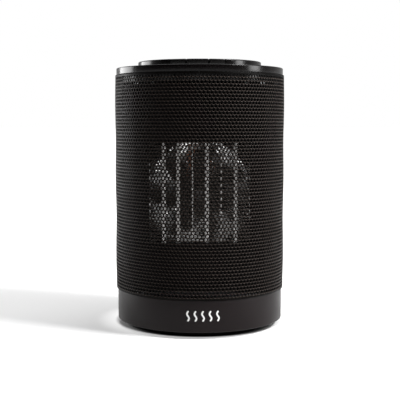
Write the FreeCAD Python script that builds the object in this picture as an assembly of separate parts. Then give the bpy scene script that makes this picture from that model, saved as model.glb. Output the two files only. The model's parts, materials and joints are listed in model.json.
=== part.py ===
import FreeCAD, Part

# Oscillating ceramic space heater: a perforated steel cylinder between a base and a top cover,
# turning on a round foot. Units are millimetres. +Z is up, -Y is the front, and the origin is on
# the floor under the cylinder's axis. Each function makes one node, as closed solids.

import math
import os

# --- Outer shape ---------------------------------------------------------------------------
GRILLE_R = 79.4
GRILLE_WALL = 0.8
GRILLE_HEM = 3.0
TOP_R = 77.9
BASE_R = 77.6
DISC_R = 57.5
FOOT_R = 66.0

PAD_H = 1.2
FOOT_TOP = 5.3
BASE_BOTTOM = 6.0
BASE_TOP = 34.5
COVER_BOTTOM = 233.6
COVER_TOP = 239.8
DISC_TOP = 245.7
SHELL_WALL = 2.2
BASE_EDGE = 0.9
COVER_EDGE = 1.2
COVER_T = 2.4
COVER_SKIRT = (73.0, 75.0)
COVER_SKIRT_BOTTOM = COVER_BOTTOM - 7.5

# --- Fits ----------------------------------------------------------------------------------
RUNNING = 0.05
CLEAR = 0.1
LOOSE = 0.3

# --- Screws: shank radius, head radius and head height, with each size's two hole radii --------
SCREW_3 = (1.4, 2.7, 1.6)
HOLE_3 = 1.6
PILOT_3 = 1.5
SCREW_2 = (1.15, 2.2, 1.4)
HOLE_2 = 1.3
PILOT_2 = 1.2
HUB_SCREW = (1.45, 2.7, 1.7)
SCREW_SLOT = 0.4

# --- Foot, pivot and swing drive ------------------------------------------------------------
PAD_R = 6.0
PAD_CIRCLE = 54.0
PAD_INSET = 0.8
PAD_ANGLES = (45, 135, 225, 315)
SLIDE_R = (50.0, 58.0)
SLIDE_H = 1.5
HUB_R = 13.92
HUB_BORE_R = 14.0
CABLE_R = 9.0
HUB_TOP = 8.6
HUB_SCREW_CIRCLE = 11.45
HUB_SCREW_ANGLES = (30, 150, 270)
HUB_SCREW_SEAT = PAD_H + 2.0
GEAR_HOLE_CIRCLE = 19.0
GEAR_TOP = 14.0
GEAR_MODULE = 0.8
GEAR_TEETH = 64
PINION_TEETH = 16
PRESSURE_ANGLE = math.radians(20)
ADDENDUM = 0.9
DEDENDUM = 1.25
BACKLASH = 0.05
GEAR_DISTANCE = GEAR_MODULE * (GEAR_TEETH + PINION_TEETH) / 2
SWING_SHAFT_R = 2.5
SWING_CAN_R = 14.0
SWING_CAN_OFFSET = 8.0
SWING_CAN_BOTTOM = 17.0
SWING_CAN_TOP = 35.4
SWING_EAR = 17.5
SWING_EAR_R = 3.5
SWING_EAR_T = 0.8

# --- Base interior --------------------------------------------------------------------------
FLOOR_TOP = BASE_BOTTOM + SHELL_WALL
SKIRT_R = 73.0
LIP_R = 70.8
LIP_TOP = 10.2
SHIELD_Z = 36.0
SHIELD_T = 0.8
ROD_CIRCLE = 65.0
ROD_ANGLES = (-28, 45, 135, 208)
ROD_R = 2.0
ROD_HEAD_R = 3.7
ROD_HEAD_H = 3.0
ROD_HEAD_TOP = 10.5
ROD_TOP = 235.4
ROD_BOSS_R = 5.2
EAR_BOSS_R = 3.2
POST_BOSS_R = 2.8
GLAND_Z = 21.0
GLAND_R = 6.0
GLAND_BORE_R = 3.6
GLAND_INSIDE = (72.9, 74.9)
TIP_X = 42.0
TIP_SIDE = 16.0
TIP_BORE_R = 5.2
TIP_FLOOR = 12.0
TIP_LID = 26.0
BALL_R = 4.5
BALL_GAP = 0.15
FRAME_SCREWS = ((-30.0, -39.0), (30.0, -39.0))

# --- Power board, its parts standing on it -----------------------------------------------------
BOARD = (60.0, 28.0, 1.6)
BOARD_Y = 30.0
BOARD_Z = 14.0
BOARD_TOP = BOARD_Z + BOARD[2]
RELAY_X = (-13.5, 4.5)
RELAY_Y = (41.5, 55.5)
RELAY_HALF_W = 7.75
RELAY_H = 15.5
CAPACITOR_X = (14.5, 20.5)
CAPACITOR_Y = (40.0, 55.0)
CAPACITOR_H = 12.0
TERMINALS_HALF_W = 12.0
TERMINALS_Y = (31.5, 40.0)
TERMINALS_H = 10.0
WIRE_X = (-7.0, 0.0, 7.0)
WIRE_Y = 36.0

# --- Heating element, with its centre at the window's centre --------------------------------
WINDOW_Z = 126.0
WINDOW_W = 90.6
WINDOW_H = 91.0
COLUMN_PITCH = 13.0
TUBE_X = (-2.5, -1.5, 0.5, 2.5)
PLATE_X = (-0.5, 1.5)
TUBE_W = 4.0
PLATE_W = 1.2
PTC_FRONT = -42.0
PTC_BACK = -26.0
FIN_WAVE = 2.6
FIN_T = 0.25
CAP_H = 8.6
TUBE_IN_CAP = 6.0
STONES = 4
STONE_W = 2.2
STONE_D = 12.0
STONE_H = 22.0
TAB_X = (-19.5, 0.0, 19.5)
TAB_HALF_W = 3.15
LEAD_R = 1.2
LEAD_BEND = 3.6
LEAD_Y = -11.5
LEAD_Z = 52.0
CUTOUT_Y = -17.0
CUTOUT_R = 8.0

# --- Air duct and front frame ---------------------------------------------------------------
FRAME_Y = (-48.0, -45.0)
FRAME_HALF_W = 62.0
FRAME_TOP = 224.0
FRAME_SILL = 2.4
FRAME_TAB_Z = (216.0, 219.0)
RIB_Z = (185.0, 195.0)
RIB_HALF_W = 52.0
RIB_FRONT = -53.0
WING_R = (74.2, 75.7)
WING_END = 12.0
DUCT_HALF_W = 51.0
DUCT_HALF_H = 57.0
DUCT_WALL = 2.5
SHROUD_FRONT = -6.2
DUCT_BACK = -4.0
RING_R = 48.0
RING_WALL = 2.2
RING_BACK = 18.0
DUCT_EAR = (44.0, 60.0)
DUCT_EAR_R = 4.0
CORNER_SCREW = (45.5, 50.5)
CORNER_BLOCK = 3.5
CORNER_DEPTH = 10.0
LEAD_WINDOW = (24.0, 4.0)

# --- Fan and motor --------------------------------------------------------------------------
FAN_R = 46.0
FAN_HUB_R = 13.0
FAN_BUSH_R = 3.6
FAN_BACK = 14.0
BLADES = 7
BLADE_PITCH = 33.0
BLADE_CHORD = 21.0
BLADE_T = 1.4
SHAFT_R = 1.55
STRAP_T = 1.5
MOUNT_X = 54.5
MOUNT_HALF = (59.0, 9.0)
ARM_R = 4.5
ARM_FRONT = 10.0
STACK_Y = (25.0, 43.0)
STACK_HALF_W = 24.0
STATOR_BORE = 11.3
STACK_Z = (WINDOW_Z - 20.0, WINDOW_Z + 34.0)
COIL_WINDOW = (13.0, WINDOW_Z + 16.0, WINDOW_Z + 26.0)
COIL_HALF_W = 11.5
COIL_Z = (WINDOW_Z + 16.8, WINDOW_Z + 43.0)
COIL_PROUD = 5.8
ROTOR_R = 10.8
MOTOR_SCREW_X = 18.0
BRACKET_Y = (23.2, 45.0)
BRACKET_HALF = (22.0, 7.0)
BRACKET_T = 1.2
BEARING_R = 4.5
BEARING_W = 3.0
SHAFT_Y = (-3.5, 51.0)
CLIP_Y = (-2.0, -0.2)

# --- Control panel --------------------------------------------------------------------------
COVER_HOLE_R = 50.5
COVER_BOSS_R = 4.6
PANEL_T = 2.0
PANEL_EDGE = 1.0
BUTTON_INNER_R = 40.0
BUTTON_SPANS = {
    "heat_button": (243.0, 257.4),
    "power_button": (258.6, 277.6),
    "swing_button": (278.8, 293.2),
}
BUTTON_GAP_DEG = 0.5
BUTTON_SKIRT = 240.8
STEM_CIRCLE = 43.5
STEM_BOTTOM = 240.2
STEM_R = 2.0
PANEL_SCREWS = (45, 135, 225, 315)
PANEL_SCREW_CIRCLE = 53.4
PANEL_SCREW_BOSS_R = 2.5
PANEL_SCREW_TIP = DISC_TOP - 1.9
PANEL_PILOT_TOP = DISC_TOP - 1.4
POST_ANGLES = (30, 150, 270)
POST_CIRCLE = 30.0
POST_R = 3.0
LENS = (34.0, 18.0)
LENS_T = 1.4
LENS_LEDGE = 2.0
DISPLAY = (29.0, 13.0)
CONTROL_BOARD_R = 46.5
CONTROL_BOARD_Z = (234.0, 235.6)
SWITCH_SIDE = 6.0
SWITCH_TOP = 239.0


# --- Helpers --------------------------------------------------------------------------------
def vec(x, y, z):
    return FreeCAD.Vector(x, y, z)


def polar(radius, degrees):
    angle = math.radians(degrees)
    return radius * math.cos(angle), radius * math.sin(angle)


def block(x0, x1, y0, y1, z0, z1):
    return Part.makeBox(x1 - x0, y1 - y0, z1 - z0, vec(x0, y0, z0))


def rod_z(radius, z0, z1, x=0.0, y=0.0):
    return Part.makeCylinder(radius, z1 - z0, vec(x, y, z0))


def rod_y(radius, y0, y1, x=0.0, z=WINDOW_Z):
    return Part.makeCylinder(radius, y1 - y0, vec(x, y0, z), vec(0, 1, 0))


def tube_z(outer, inner, z0, z1):
    return rod_z(outer, z0, z1).cut(rod_z(inner, z0 - 1, z1 + 1))


def fused(first, *others):
    return first.multiFuse(list(others)).removeSplitter() if others else first


def rounded_wire(corners):
    """A closed wire through (x, z, radius) corners in the XZ plane; a radius above 0 rounds its corner."""
    count = len(corners)
    points = [vec(x, 0, z) for x, z, _ in corners]
    ends = []
    for i, (_, _, radius) in enumerate(corners):
        before = (points[i - 1] - points[i]).normalize()
        after = (points[(i + 1) % count] - points[i]).normalize()
        half = before.getAngle(after) / 2
        reach = radius / math.tan(half) if radius else 0.0
        middle = points[i]
        if radius:
            inward = (before + after).normalize()
            middle = points[i] + inward * (radius / math.sin(half) - radius)
        ends.append((points[i] + before * reach, middle, points[i] + after * reach))
    edges = []
    for i, (start, middle, end) in enumerate(ends):
        if corners[i][2]:
            edges.append(Part.Arc(start, middle, end).toShape())
        following = ends[(i + 1) % count][0]
        if (following - end).Length > 1e-6:
            edges.append(Part.LineSegment(end, following).toShape())
    return Part.Wire(edges)


def lathe(corners, degrees=360):
    """Turns a rounded outline of (radius, z, corner radius) about the Z axis."""
    return Part.Face(rounded_wire(corners)).revolve(vec(0, 0, 0), vec(0, 0, 1), degrees)


def wedge(radius, z0, z1, start, end):
    """A pie slice about the Z axis, from start to end degrees."""
    first, last = polar(radius, start), polar(radius, end)
    middle = polar(radius, (start + end) / 2)
    arc = Part.Arc(vec(*first, z0), vec(*middle, z0), vec(*last, z0)).toShape()
    sides = [
        Part.LineSegment(vec(0, 0, z0), vec(*first, z0)).toShape(),
        Part.LineSegment(vec(*last, z0), vec(0, 0, z0)).toShape(),
    ]
    return Part.Face(Part.Wire([sides[0], arc, sides[1]])).extrude(vec(0, 0, z1 - z0))


def screw_z(x, y, seat, tip, size, up=True):
    """A slotted screw: its head starts at seat and its shank ends at tip."""
    radius, head_r, head_h = size
    head_end = seat + head_h if up else seat - head_h
    low, high = sorted((seat, head_end))
    head = rod_z(head_r, low, high, x, y)
    slot = block(x - head_r, x + head_r, y - SCREW_SLOT, y + SCREW_SLOT,
                 head_end - 1.5 * SCREW_SLOT, head_end + 1.5 * SCREW_SLOT)
    low, high = sorted((seat, tip))
    return fused(head.cut(slot), rod_z(radius, low, high, x, y))


def screw_y(x, z, seat, tip, size):
    """A slotted screw along Y, with its head behind seat and its shank ending at tip in front."""
    radius, head_r, head_h = size
    head = rod_y(head_r, seat, seat + head_h, x, z)
    slot = block(x - head_r, x + head_r, seat + head_h - 1.5 * SCREW_SLOT, seat + head_h + 1,
                 z - SCREW_SLOT, z + SCREW_SLOT)
    return fused(head.cut(slot), rod_y(radius, tip, seat, x, z))


def rounded_block(x0, x1, y0, y1, z0, z1, radius):
    """A block whose four upright edges are rounded."""
    body = block(x0, x1, y0, y1, z0, z1)
    upright = [e for e in body.Edges if abs(e.tangentAt(e.FirstParameter).z) > 0.99]
    return body.makeFillet(radius, upright)


def beside(place, reach):
    """The ordered range from a place to a point further out, on the side of zero where it stands."""
    return sorted((place, place + math.copysign(reach, place)))


def gear(teeth, z0, z1, turn):
    """An involute spur gear about the Z axis, with the middle of one tooth at turn degrees."""
    pitch_r = GEAR_MODULE * teeth / 2
    base_r = pitch_r * math.cos(PRESSURE_ANGLE)
    tip_r = pitch_r + ADDENDUM * GEAR_MODULE
    root_r = pitch_r - DEDENDUM * GEAR_MODULE

    def involute(radius):
        roll = math.acos(min(1.0, base_r / radius))
        return math.tan(roll) - roll

    half_tooth = math.pi / (2 * teeth) - BACKLASH / pitch_r
    flank_start = max(base_r, root_r)
    radii = [flank_start + (tip_r - flank_start) * i / 4 for i in range(5)]
    flank = [(r, half_tooth + involute(pitch_r) - involute(r)) for r in radii]
    flank.insert(0, (root_r, flank[0][1]))
    points = []
    for tooth in range(teeth):
        middle = math.radians(turn) + 2 * math.pi * tooth / teeth
        points += [(r, middle - a) for r, a in flank]
        points += [(r, middle + a) for r, a in reversed(flank)]
    corners = [vec(r * math.cos(a), r * math.sin(a), z0) for r, a in points]
    return Part.Face(Part.makePolygon(corners + corners[:1])).extrude(vec(0, 0, z1 - z0))


def bent_tube(points, bend, radius):
    """A round tube along straight runs joined by tangent arcs."""
    edges = []
    start = points[0]
    for i in range(1, len(points) - 1):
        before = (points[i - 1] - points[i]).normalize()
        after = (points[i + 1] - points[i]).normalize()
        half = before.getAngle(after) / 2
        reach = bend / math.tan(half)
        inward = (before + after).normalize()
        arc_start = points[i] + before * reach
        arc_middle = points[i] + inward * (bend / math.sin(half) - bend)
        arc_end = points[i] + after * reach
        edges.append(Part.LineSegment(start, arc_start).toShape())
        edges.append(Part.Arc(arc_start, arc_middle, arc_end).toShape())
        start = arc_end
    edges.append(Part.LineSegment(start, points[-1]).toShape())
    spine = Part.Wire(edges)
    direction = points[1] - points[0]
    section = Part.Wire([Part.Circle(points[0], direction, radius).toShape()])
    return spine.makePipeShell([section], True, True)


def rod_places():
    return [polar(ROD_CIRCLE, angle) for angle in ROD_ANGLES]


def hub_screw_places():
    return [polar(HUB_SCREW_CIRCLE, angle) for angle in HUB_SCREW_ANGLES]


# --- Foot ------------------------------------------------------------------------------------
def foot_plate():
    low, high = SLIDE_R
    groove = FOOT_TOP - (SLIDE_H - 0.4)
    body = lathe([
        (CABLE_R, PAD_H, 0), (FOOT_R, PAD_H, 1.6), (FOOT_R, FOOT_TOP, 0.8),
        (high + CLEAR, FOOT_TOP, 0), (high + CLEAR, groove, 0), (low - CLEAR, groove, 0),
        (low - CLEAR, FOOT_TOP, 0), (CABLE_R, FOOT_TOP, 0),
    ])
    for angle in PAD_ANGLES:
        body = body.cut(rod_z(PAD_R + CLEAR, 0, PAD_H + PAD_INSET, *polar(PAD_CIRCLE, angle)))
    shank_r, head_r, _ = HUB_SCREW
    for x, y in hub_screw_places():
        body = body.cut(rod_z(shank_r + CLEAR, 0, FOOT_TOP + 1, x, y))
        body = body.cut(rod_z(head_r + 0.2, 0, HUB_SCREW_SEAT, x, y))
    return body


def foot_pads():
    pad = lathe([(0, 0, 0), (PAD_R, 0, 0.5), (PAD_R, PAD_H + PAD_INSET, 0), (0, PAD_H + PAD_INSET, 0)])
    return [pad.translated(vec(*polar(PAD_CIRCLE, angle), 0)) for angle in PAD_ANGLES]


def slide_ring():
    low, high = SLIDE_R
    bottom = FOOT_TOP - (SLIDE_H - 0.4)
    top = bottom + SLIDE_H
    return lathe([(low, bottom, 0), (high, bottom, 0), (high, top, 0.4), (low, top, 0.4)])


def pivot_hub():
    body = tube_z(HUB_R, CABLE_R, FOOT_TOP, HUB_TOP)
    for x, y in hub_screw_places():
        body = body.cut(rod_z(HUB_SCREW[0] + CLEAR, 0, 20, x, y))
    return body


def foot_gear():
    body = gear(GEAR_TEETH, HUB_TOP, GEAR_TOP, 180).cut(rod_z(CABLE_R, 0, 20))
    for x, y in hub_screw_places():
        body = body.cut(rod_z(HUB_SCREW[0] + RUNNING, 0, GEAR_TOP - 1, x, y))
    for angle in range(0, 360, 45):
        body = body.cut(rod_z(3.0, 0, 20, *polar(GEAR_HOLE_CIRCLE, angle)))
    return body


def hub_screws():
    tip = GEAR_TOP - 1.5
    return [screw_z(x, y, HUB_SCREW_SEAT, tip, HUB_SCREW, up=False) for x, y in hub_screw_places()]


# --- Base ------------------------------------------------------------------------------------
def board_posts():
    width, depth, _ = BOARD
    return [(x, y) for x in (-width / 2 + 4, width / 2 - 4) for y in (BOARD_Y + 3, BOARD_Y + depth - 3)]


def swing_ears():
    can_x = -(GEAR_DISTANCE + SWING_CAN_OFFSET)
    return [(can_x, side * SWING_EAR) for side in (-1, 1)]


def base_band():
    """The base's outer wall, with a lip inside that rests on the floor plate."""
    inner = BASE_R - SHELL_WALL
    return lathe([
        (SKIRT_R, BASE_BOTTOM, 0), (BASE_R, BASE_BOTTOM, BASE_EDGE), (BASE_R, BASE_TOP, 0.5),
        (inner, BASE_TOP, 0), (inner, LIP_TOP, 0), (LIP_R, LIP_TOP, 0), (LIP_R, FLOOR_TOP, 0),
        (SKIRT_R, FLOOR_TOP, 0),
    ])


def gland_slot(half_w):
    """The slot in the back of the band, open at the bottom, that the cord gland slides up into."""
    return block(-half_w, half_w, 60, 90, BASE_BOTTOM - 1, GLAND_Z + half_w)


def base_ring():
    return base_band().cut(gland_slot(GLAND_R + RUNNING))


def base_floor():
    """The floor plate, with a boss for each long screw, swing motor ear and board corner."""
    rim_r = SKIRT_R - RUNNING
    body = rod_z(rim_r, BASE_BOTTOM, FLOOR_TOP).cut(rod_z(HUB_BORE_R, BASE_BOTTOM - 1, FLOOR_TOP + 1))
    root = FLOOR_TOP - 0.5
    bosses = [rod_z(ROD_BOSS_R, root, SHIELD_Z, x, y) for x, y in rod_places()]
    bosses += [rod_z(EAR_BOSS_R, root, SWING_CAN_BOTTOM, x, y) for x, y in swing_ears()]
    bosses += [rod_z(POST_BOSS_R, root, BOARD_Z, x, y) for x, y in board_posts()]
    body = fused(body, *bosses)
    for x, y in rod_places():
        body = body.cut(rod_z(ROD_R + CLEAR, 0, SHIELD_Z + 1, x, y))
        body = body.cut(rod_z(ROD_HEAD_R + 0.2, 0, ROD_HEAD_TOP, x, y))
    for x, y in swing_ears():
        body = body.cut(rod_z(PILOT_3, FLOOR_TOP + 1, SWING_CAN_BOTTOM + 1, x, y))
    for x, y in board_posts():
        body = body.cut(rod_z(PILOT_2, FLOOR_TOP + 1, BOARD_Z + 1, x, y))
    return body


def tie_rods():
    """Four long screws that clamp the grille between the base and the top cover."""
    size = (ROD_R, ROD_HEAD_R, ROD_HEAD_H)
    return [screw_z(x, y, ROD_HEAD_TOP, ROD_TOP, size, up=False) for x, y in rod_places()]


def cord_gland():
    """The gland's bush, its two flanges and the key below it that closes the slot."""
    key = base_band().common(gland_slot(GLAND_R))
    flange = rod_y(GLAND_R + 2.8, 70, GRILLE_R - 0.2, 0, GLAND_Z).cut(rod_z(BASE_R + 0.02, 0, 60))
    inside = rod_y(GLAND_R + 1.6, *GLAND_INSIDE, 0, GLAND_Z)
    inside = inside.common(rod_z(BASE_R - SHELL_WALL - 0.02, 0, 60))
    body = fused(rod_y(GLAND_R, 66, GRILLE_R - 0.4, 0, GLAND_Z), key, flange, inside)
    return body.cut(rod_y(GLAND_BORE_R, 60, 90, 0, GLAND_Z))


def heat_shield():
    body = rod_z(73.4, SHIELD_Z, SHIELD_Z + SHIELD_T)
    for x, y in rod_places():
        body = body.cut(rod_z(ROD_R + 0.4, 0, 60, x, y))
    for x, y in FRAME_SCREWS:
        body = body.cut(rod_z(PILOT_3, 0, 60, x, y))
    low, high = TERMINALS_Y
    return body.cut(rounded_block(-TERMINALS_HALF_W, TERMINALS_HALF_W, low, high + 0.5, 30, 40, 2))


def swing_motor():
    shaft_x = -GEAR_DISTANCE
    can_x = shaft_x - SWING_CAN_OFFSET
    can = lathe([(0, SWING_CAN_BOTTOM, 0), (SWING_CAN_R, SWING_CAN_BOTTOM, 0.6),
                 (SWING_CAN_R, SWING_CAN_TOP, 0.6), (0, SWING_CAN_TOP, 0)]).translated(vec(can_x, 0, 0))
    reach = SWING_EAR + SWING_EAR_R
    ears = rounded_block(can_x - SWING_EAR_R, can_x + SWING_EAR_R, -reach, reach,
                         SWING_CAN_BOTTOM, SWING_CAN_BOTTOM + SWING_EAR_T, SWING_EAR_R - LOOSE)
    for x, y in swing_ears():
        ears = ears.cut(rod_z(HOLE_3, 0, 40, x, y))
    nose = rod_z(4.5, SWING_CAN_BOTTOM - 1.5, SWING_CAN_BOTTOM + 1, shaft_x)
    tail = block(can_x - 18, can_x - 10, -8.5, 8.5, SWING_CAN_BOTTOM + 2, SWING_CAN_TOP - 2)
    body = fused(can, ears, nose, tail)
    return body.cut(rod_z(SWING_SHAFT_R + RUNNING, 0, SWING_CAN_BOTTOM + 5, shaft_x))


def swing_motor_screws():
    seat = SWING_CAN_BOTTOM + SWING_EAR_T
    return [screw_z(x, y, seat, FLOOR_TOP + 2, SCREW_3) for x, y in swing_ears()]


def swing_shaft():
    return rod_z(SWING_SHAFT_R, FLOOR_TOP + 0.6, SWING_CAN_BOTTOM + 4.5, -GEAR_DISTANCE)


def swing_pinion():
    """A gap between two teeth faces the foot's gear, whose tooth stands on the line of centres."""
    half_pitch = 180.0 / PINION_TEETH
    body = gear(PINION_TEETH, HUB_TOP + 0.4, GEAR_TOP - 0.3, half_pitch)
    collar = tube_z(4.4, SWING_SHAFT_R, GEAR_TOP - 0.3, SWING_CAN_BOTTOM - 1.8)
    body = fused(body, collar).cut(rod_z(SWING_SHAFT_R + 0.01, 0, 40))
    return body.translated(vec(-GEAR_DISTANCE, 0, 0))


def tip_switch_case():
    half = TIP_SIDE / 2
    body = rounded_block(TIP_X - half, TIP_X + half, -half, half, FLOOR_TOP, TIP_LID, 1.0)
    return body.cut(rod_z(TIP_BORE_R, TIP_FLOOR, TIP_LID + 1, TIP_X))


def tip_switch_cap():
    half = TIP_SIDE / 2
    return rounded_block(TIP_X - half, TIP_X + half, -half, half, TIP_LID, TIP_LID + 2, 1.0)


def tip_ball():
    return Part.makeSphere(BALL_R, vec(TIP_X, 0, TIP_FLOOR + BALL_GAP + BALL_R))


def power_board():
    width, depth, thick = BOARD
    body = block(-width / 2, width / 2, BOARD_Y, BOARD_Y + depth, BOARD_Z, BOARD_Z + thick)
    for x, y in board_posts():
        body = body.cut(rod_z(HOLE_2, 0, 40, x, y))
    return body


def relays():
    return [
        rounded_block(x - RELAY_HALF_W, x + RELAY_HALF_W, *RELAY_Y, BOARD_TOP, BOARD_TOP + RELAY_H, 0.8)
        for x in RELAY_X
    ]


def board_capacitor():
    return rounded_block(*CAPACITOR_X, *CAPACITOR_Y, BOARD_TOP, BOARD_TOP + CAPACITOR_H, 1.0)


def terminal_block():
    top = BOARD_TOP + TERMINALS_H
    body = rounded_block(-TERMINALS_HALF_W, TERMINALS_HALF_W, *TERMINALS_Y, BOARD_TOP, top, 0.6)
    for x in WIRE_X:
        body = body.cut(rod_z(LEAD_R + 0.7, top - 5, top + 1, x, WIRE_Y))
    return body


def board_screws():
    return [screw_z(x, y, BOARD_TOP, FLOOR_TOP + 2, SCREW_2) for x, y in board_posts()]


# --- Grille and top cover --------------------------------------------------------------------
def grille():
    """The perforated sheet as a plain shell, with a hem turned in at each end."""
    inner = GRILLE_R - GRILLE_WALL
    hem = inner - GRILLE_HEM
    top = COVER_BOTTOM
    return lathe([
        (hem, BASE_TOP, 0), (GRILLE_R, BASE_TOP, 0.7), (GRILLE_R, top, 0.7), (hem, top, 0),
        (hem, top - GRILLE_WALL, 0), (inner, top - GRILLE_WALL, 0),
        (inner, BASE_TOP + GRILLE_WALL, 0), (hem, BASE_TOP + GRILLE_WALL, 0),
    ])


def top_cover():
    """The top ring, with a skirt down inside the grille and a blind boss for each long screw."""
    under = COVER_TOP - COVER_T
    inner, outer = COVER_SKIRT
    body = lathe([
        (COVER_HOLE_R, under, 0), (inner, under, 0), (inner, COVER_SKIRT_BOTTOM, 0),
        (outer, COVER_SKIRT_BOTTOM, 0.5), (outer, COVER_BOTTOM, 0), (TOP_R, COVER_BOTTOM, 0.4),
        (TOP_R, COVER_TOP, COVER_EDGE), (COVER_HOLE_R, COVER_TOP, 0),
    ])
    bosses = [rod_z(COVER_BOSS_R, COVER_SKIRT_BOTTOM, under + 1, x, y) for x, y in rod_places()]
    body = fused(body, *bosses)
    for x, y in rod_places():
        body = body.cut(rod_z(ROD_R + RUNNING, 0, ROD_TOP + 0.5, x, y))
    for angle in PANEL_SCREWS:
        body = body.cut(rod_z(HOLE_2, 200, COVER_TOP + 1, *polar(PANEL_SCREW_CIRCLE, angle)))
    return body


# --- Control panel ---------------------------------------------------------------------------
def panel_shell(skirt_bottom):
    """The control disc's cross-section turned about Z: a top plate and a side wall."""
    inner = DISC_R - SHELL_WALL
    return lathe([
        (0, DISC_TOP - PANEL_T, 0), (inner, DISC_TOP - PANEL_T, 0), (inner, skirt_bottom, 0),
        (DISC_R, skirt_bottom, 0.3), (DISC_R, DISC_TOP, PANEL_EDGE), (0, DISC_TOP, 0),
    ])


def panel_screw_places():
    """Where the disc is screwed to the cover, and where the control board is screwed to the disc."""
    rim = [polar(PANEL_SCREW_CIRCLE, angle) for angle in PANEL_SCREWS]
    posts = [polar(POST_CIRCLE, angle) for angle in POST_ANGLES]
    return rim, posts


def control_disc():
    """The raised panel, cut away over the keys and over the display's lens."""
    body = panel_shell(COVER_TOP)
    under = DISC_TOP - PANEL_T + 0.5
    rim, posts = panel_screw_places()
    bosses = [rod_z(PANEL_SCREW_BOSS_R, COVER_TOP, under, x, y) for x, y in rim]
    bosses += [rod_z(POST_R, CONTROL_BOARD_Z[1], under, x, y) for x, y in posts]
    body = fused(body, *bosses)
    for x, y in rim + posts:
        body = body.cut(rod_z(PILOT_2, 200, PANEL_PILOT_TOP, x, y))
    start = min(a for a, _ in BUTTON_SPANS.values()) - BUTTON_GAP_DEG
    end = max(b for _, b in BUTTON_SPANS.values()) + BUTTON_GAP_DEG
    opening = wedge(DISC_R + 5, COVER_TOP - 1, DISC_TOP + 1, start, end)
    body = body.cut(opening.cut(rod_z(BUTTON_INNER_R - LOOSE, 200, 300)))
    body = body.cut(lens_block(CLEAR, DISC_TOP - LENS_T, DISC_TOP + 1))
    return body.cut(lens_block(-LENS_LEDGE, COVER_TOP, DISC_TOP + 1))


def lens_block(grow, z0, z1):
    """The lens's outline, grown all round by a distance, as a block from z0 to z1."""
    half_w, half_d = LENS[0] / 2 + grow, LENS[1] / 2 + grow
    return rounded_block(-half_w, half_w, -half_d, half_d, z0, z1, 3)


def button(name):
    """A slice of the disc's rim with a stem over its switch."""
    start, end = BUTTON_SPANS[name]
    cap = panel_shell(BUTTON_SKIRT).common(wedge(DISC_R + 5, 200, 300, start, end))
    cap = cap.cut(rod_z(BUTTON_INNER_R, 200, 300))
    place = polar(STEM_CIRCLE, (start + end) / 2)
    return fused(cap, rod_z(STEM_R, STEM_BOTTOM, DISC_TOP - PANEL_T + 0.5, *place))


def display_lens():
    return lens_block(0, DISC_TOP - LENS_T, DISC_TOP)


def display_module():
    half_w, half_d = DISPLAY[0] / 2, DISPLAY[1] / 2
    top = DISC_TOP - LENS_T - 0.6
    return rounded_block(-half_w, half_w, -half_d, half_d, CONTROL_BOARD_Z[1], top, 0.8)


def control_board():
    body = rod_z(CONTROL_BOARD_R, *CONTROL_BOARD_Z)
    for angle in POST_ANGLES:
        body = body.cut(rod_z(HOLE_2, 200, 250, *polar(POST_CIRCLE, angle)))
    return body


def tact_switches():
    half = SWITCH_SIDE / 2
    bottom = CONTROL_BOARD_Z[1]
    switches = []
    for start, end in BUTTON_SPANS.values():
        x, y = polar(STEM_CIRCLE, (start + end) / 2)
        case = block(x - half, x + half, y - half, y + half, bottom, SWITCH_TOP - 0.6)
        switches.append(fused(case, rod_z(1.7, bottom, SWITCH_TOP, x, y)))
    return switches


def panel_screws():
    rim, posts = panel_screw_places()
    placed = [(place, COVER_TOP - COVER_T) for place in rim]
    placed += [(place, CONTROL_BOARD_Z[0]) for place in posts]
    return [screw_z(*place, seat, PANEL_SCREW_TIP, SCREW_2, up=False) for place, seat in placed]


# --- Front frame and air duct ----------------------------------------------------------------
def four_about(x, z):
    """The four mirror images of a place about the fan's axis, as offsets from it."""
    return [(side * x, end * z) for side in (-1, 1) for end in (-1, 1)]


def front_frame():
    """The panel with the element's window, and a curved wing at each side that shields the sleeve."""
    front, back = FRAME_Y
    floor = SHIELD_Z + SHIELD_T
    body = block(-FRAME_HALF_W, FRAME_HALF_W, front, back, floor, FRAME_TOP)
    half_w, half_h = WINDOW_W / 2, WINDOW_H / 2
    body = body.cut(block(-half_w, half_w, front - 1, back + 1, WINDOW_Z - half_h, WINDOW_Z + half_h))
    inner, outer = WING_R
    start = math.degrees(math.asin(back / outer))
    body = body.common(rod_z(outer, floor, FRAME_TOP))
    ring = tube_z(outer, inner, floor, FRAME_TOP)
    wings = [ring.common(wedge(outer + 5, floor, FRAME_TOP, start - 2, WING_END)),
             ring.common(wedge(outer + 5, floor, FRAME_TOP, 180 - WING_END, 182 - start))]
    rib = block(-RIB_HALF_W, RIB_HALF_W, RIB_FRONT, front + 1, *RIB_Z)
    sill = block(-40, 40, front, FRAME_SCREWS[0][1] + 6, floor, floor + FRAME_SILL)
    front_rods = rod_places()[::3]
    tabs = [block(x - 5, x + 5, front + 1, y + 5, *FRAME_TAB_Z) for x, y in front_rods]
    body = fused(body, rib, sill, *wings, *tabs)
    for x, y in front_rods:
        body = body.cut(rod_z(ROD_R + 0.2, 200, 230, x, y))
    for x, y in FRAME_SCREWS:
        body = body.cut(rod_z(HOLE_3, floor - 1, floor + FRAME_SILL + 1, x, y))
    for x, z in four_about(*DUCT_EAR):
        body = body.cut(rod_y(PILOT_3, front + 0.8, back + 1, x, WINDOW_Z + z))
    return body


def duct_box(y0, y1, grow=0.0):
    """A block about the fan's axis with the duct's outside height and width, grown by a distance."""
    half_w, half_h = DUCT_HALF_W + grow, DUCT_HALF_H + grow
    return block(-half_w, half_w, y0, y1, WINDOW_Z - half_h, WINDOW_Z + half_h)


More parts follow.
